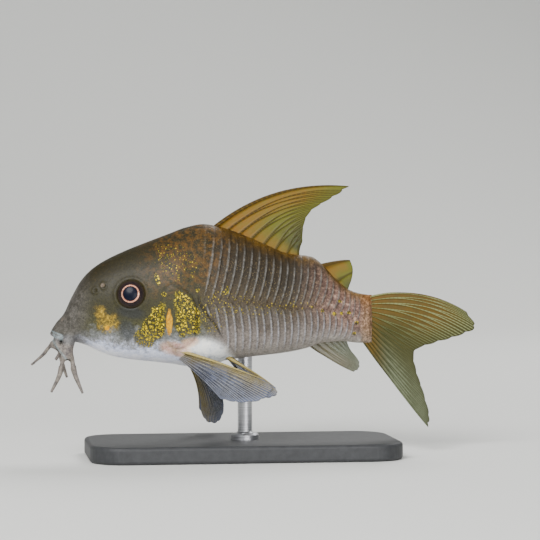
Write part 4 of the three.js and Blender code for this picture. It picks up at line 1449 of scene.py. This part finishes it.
def stand_rod(collar):
    """A turned rod that rises from a collar into the belly."""
    foot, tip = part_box("stand_rod")
    radius = (tip.x - foot.x) / 2
    middle = (tip.x + foot.x) / 2
    profile = [(0.0, foot.z)]
    profile += [(collar - inset, foot.z + rise) for inset, rise in COLLAR_PROFILE]
    profile += [(radius + out, foot.z + rise) for out, rise in COLLAR_FILLET]
    profile += [(radius, tip.z + ROD_SUNK), (0.0, tip.z + ROD_SUNK)]
    work = bmesh.new()
    line = [work.verts.new((middle + r, 0, z)) for r, z in profile]
    edges = [work.edges.new(pair) for pair in zip(line, line[1:])]
    bmesh.ops.spin(work, geom=line + edges, cent=(middle, 0, 0), axis=(0, 0, 1), angle=2 * math.pi,
                   steps=ROD_STEPS, use_merge=True)
    bmesh.ops.remove_doubles(work, verts=work.verts, dist=1e-7)
    rod = object_of(work, "stand_rod_steel")
    rod.data.shade_smooth()
    rod.data.set_sharp_from_angle(angle=math.radians(30))
    return rod


class CATFISH_OT_stand(bpy.types.Operator):
    """Builds the stand's base, and its rod with a collar at the foot"""

    bl_idname = "catfish.stand"
    bl_label = "Stand"

    def execute(self, context):
        sizes = context.scene.catfish_stand
        lacquer = stand_paint(context.scene.catfish_tones)
        finish_piece(stand_base(sizes.bevel), lacquer, "stand_paint", "stand_base")
        finish_piece(stand_rod(sizes.collar), rod_paint(), "stand_steel", "stand_rod")
        return {"FINISHED"}


# Camera: the photograph's frame covers this width at the fish, seen slightly from ahead
FRAME_WIDTH = 540 * 0.174 * MM
CAMERA_DISTANCE = 0.42
CAMERA_AZIMUTH = -8.0
CAMERA_ELEVATION = 1.5
FRAME_MIDDLE = Vector((4.9, 0.0, 32.4)) * MM
SENSOR = 36.0


class CATFISH_OT_stage(bpy.types.Operator):
    """Sets the pale floor, the soft studio lights and the camera"""

    bl_idname = "catfish.stage"
    bl_label = "Stage"

    def execute(self, context):
        self.sweep()
        self.lights(context)
        self.camera(context)
        return {"FINISHED"}

    def sweep(self):
        """A pale floor that curves up into a wall behind."""
        paint = Paint("studio_paper", {"Roughness": 0.9})
        paint.set("Base Color", colour(214, 214, 210))
        points, faces = [], []
        half, front, start, radius, top = 3.0, -1.6, 0.4, 0.4, 2.0
        line = [(front, 0.0), (start, 0.0)]
        for k in range(1, 17):
            angle = math.pi / 2 * k / 16
            line.append((start + radius * math.sin(angle), radius - radius * math.cos(angle)))
        line.append((start + radius, top))
        for y, z in line:
            points += [(-half, y, z), (half, y, z)]
        for i in range(len(line) - 1):
            faces.append((2 * i, 2 * i + 1, 2 * i + 3, 2 * i + 2))
        mesh = bpy.data.meshes.new("sweep")
        mesh.from_pydata(points, [], faces)
        mesh.shade_smooth()
        mesh.materials.append(paint.material)
        linked("sweep", mesh)

    def lights(self, context):
        """A broad key from above the head, a fill from the camera's side and a rim from behind."""
        target = Vector((0.0, 0.0, 0.03))
        for name, at, size, power in (
            ("key", (-0.3, -0.55, 0.5), 0.4, 9.0),
            ("fill", (0.15, -0.75, 0.1), 0.5, 5.0),
            ("rim", (0.25, 0.35, 0.45), 0.3, 2.5),
        ):
            light = bpy.data.lights.new(name, "AREA")
            light.shape = "DISK"
            light.size = size
            light.energy = power
            lamp = linked(name, light)
            lamp.location = at
            lamp.rotation_euler = (target - Vector(at)).to_track_quat("-Z", "Y").to_euler()
        world = bpy.data.worlds.new("studio")
        world.use_nodes = True
        background = world.node_tree.nodes["Background"]
        background.inputs["Color"].default_value = colour(226, 230, 232)
        background.inputs["Strength"].default_value = 0.42
        context.scene.world = world

    def camera(self, context):
        """The photograph's view, level with the fish and a little from ahead."""
        azimuth = math.radians(CAMERA_AZIMUTH)
        elevation = math.radians(CAMERA_ELEVATION)
        back = Vector((math.sin(azimuth) * math.cos(elevation), -math.cos(azimuth) * math.cos(elevation),
                       math.sin(elevation)))
        camera = bpy.data.cameras.new("camera")
        camera.sensor_width = SENSOR
        camera.lens = SENSOR * CAMERA_DISTANCE / FRAME_WIDTH
        camera.clip_start = 0.01
        holder = linked("camera", camera)
        holder.location = FRAME_MIDDLE + back * CAMERA_DISTANCE
        holder.rotation_euler = (-back).to_track_quat("-Z", "Y").to_euler()
        context.scene.camera = holder


class CATFISH_PT_panel(bpy.types.Panel):
    """Lists the steps in the order in which they run"""

    bl_idname = "CATFISH_PT_panel"
    bl_label = "Corydoras catfish"
    bl_space_type = "VIEW_3D"
    bl_region_type = "UI"
    bl_category = "Catfish"

    def draw(self, context):
        layout = self.layout
        for operator in OPERATORS:
            layout.operator(operator.bl_idname)
        for group, owner in GROUPS.items():
            for name in group.__annotations__:
                layout.prop(getattr(context.scene, owner), name)


GROUPS = {CatfishTones: "catfish_tones", CatfishBody: "catfish_body", CatfishFins: "catfish_fins",
          CatfishStand: "catfish_stand"}
OPERATORS = [
    CATFISH_OT_stage, CATFISH_OT_skin, CATFISH_OT_eyes, CATFISH_OT_median_fins, CATFISH_OT_paired_fins,
    CATFISH_OT_stand,
]


def register():
    for group, name in GROUPS.items():
        bpy.utils.register_class(group)
        setattr(bpy.types.Scene, name, bpy.props.PointerProperty(type=group))
    for kind in [*OPERATORS, CATFISH_PT_panel]:
        bpy.utils.register_class(kind)


def unregister():
    for kind in reversed([*OPERATORS, CATFISH_PT_panel]):
        bpy.utils.unregister_class(kind)
    for group, name in GROUPS.items():
        delattr(bpy.types.Scene, name)
        bpy.utils.unregister_class(group)


def main():
    register()
    bpy.ops.catfish.stage()
    bpy.ops.catfish.skin()
    bpy.ops.catfish.eyes()
    bpy.ops.catfish.median_fins()
    bpy.ops.catfish.paired_fins()
    bpy.ops.catfish.stand()


if __name__ == "__main__":
    main()
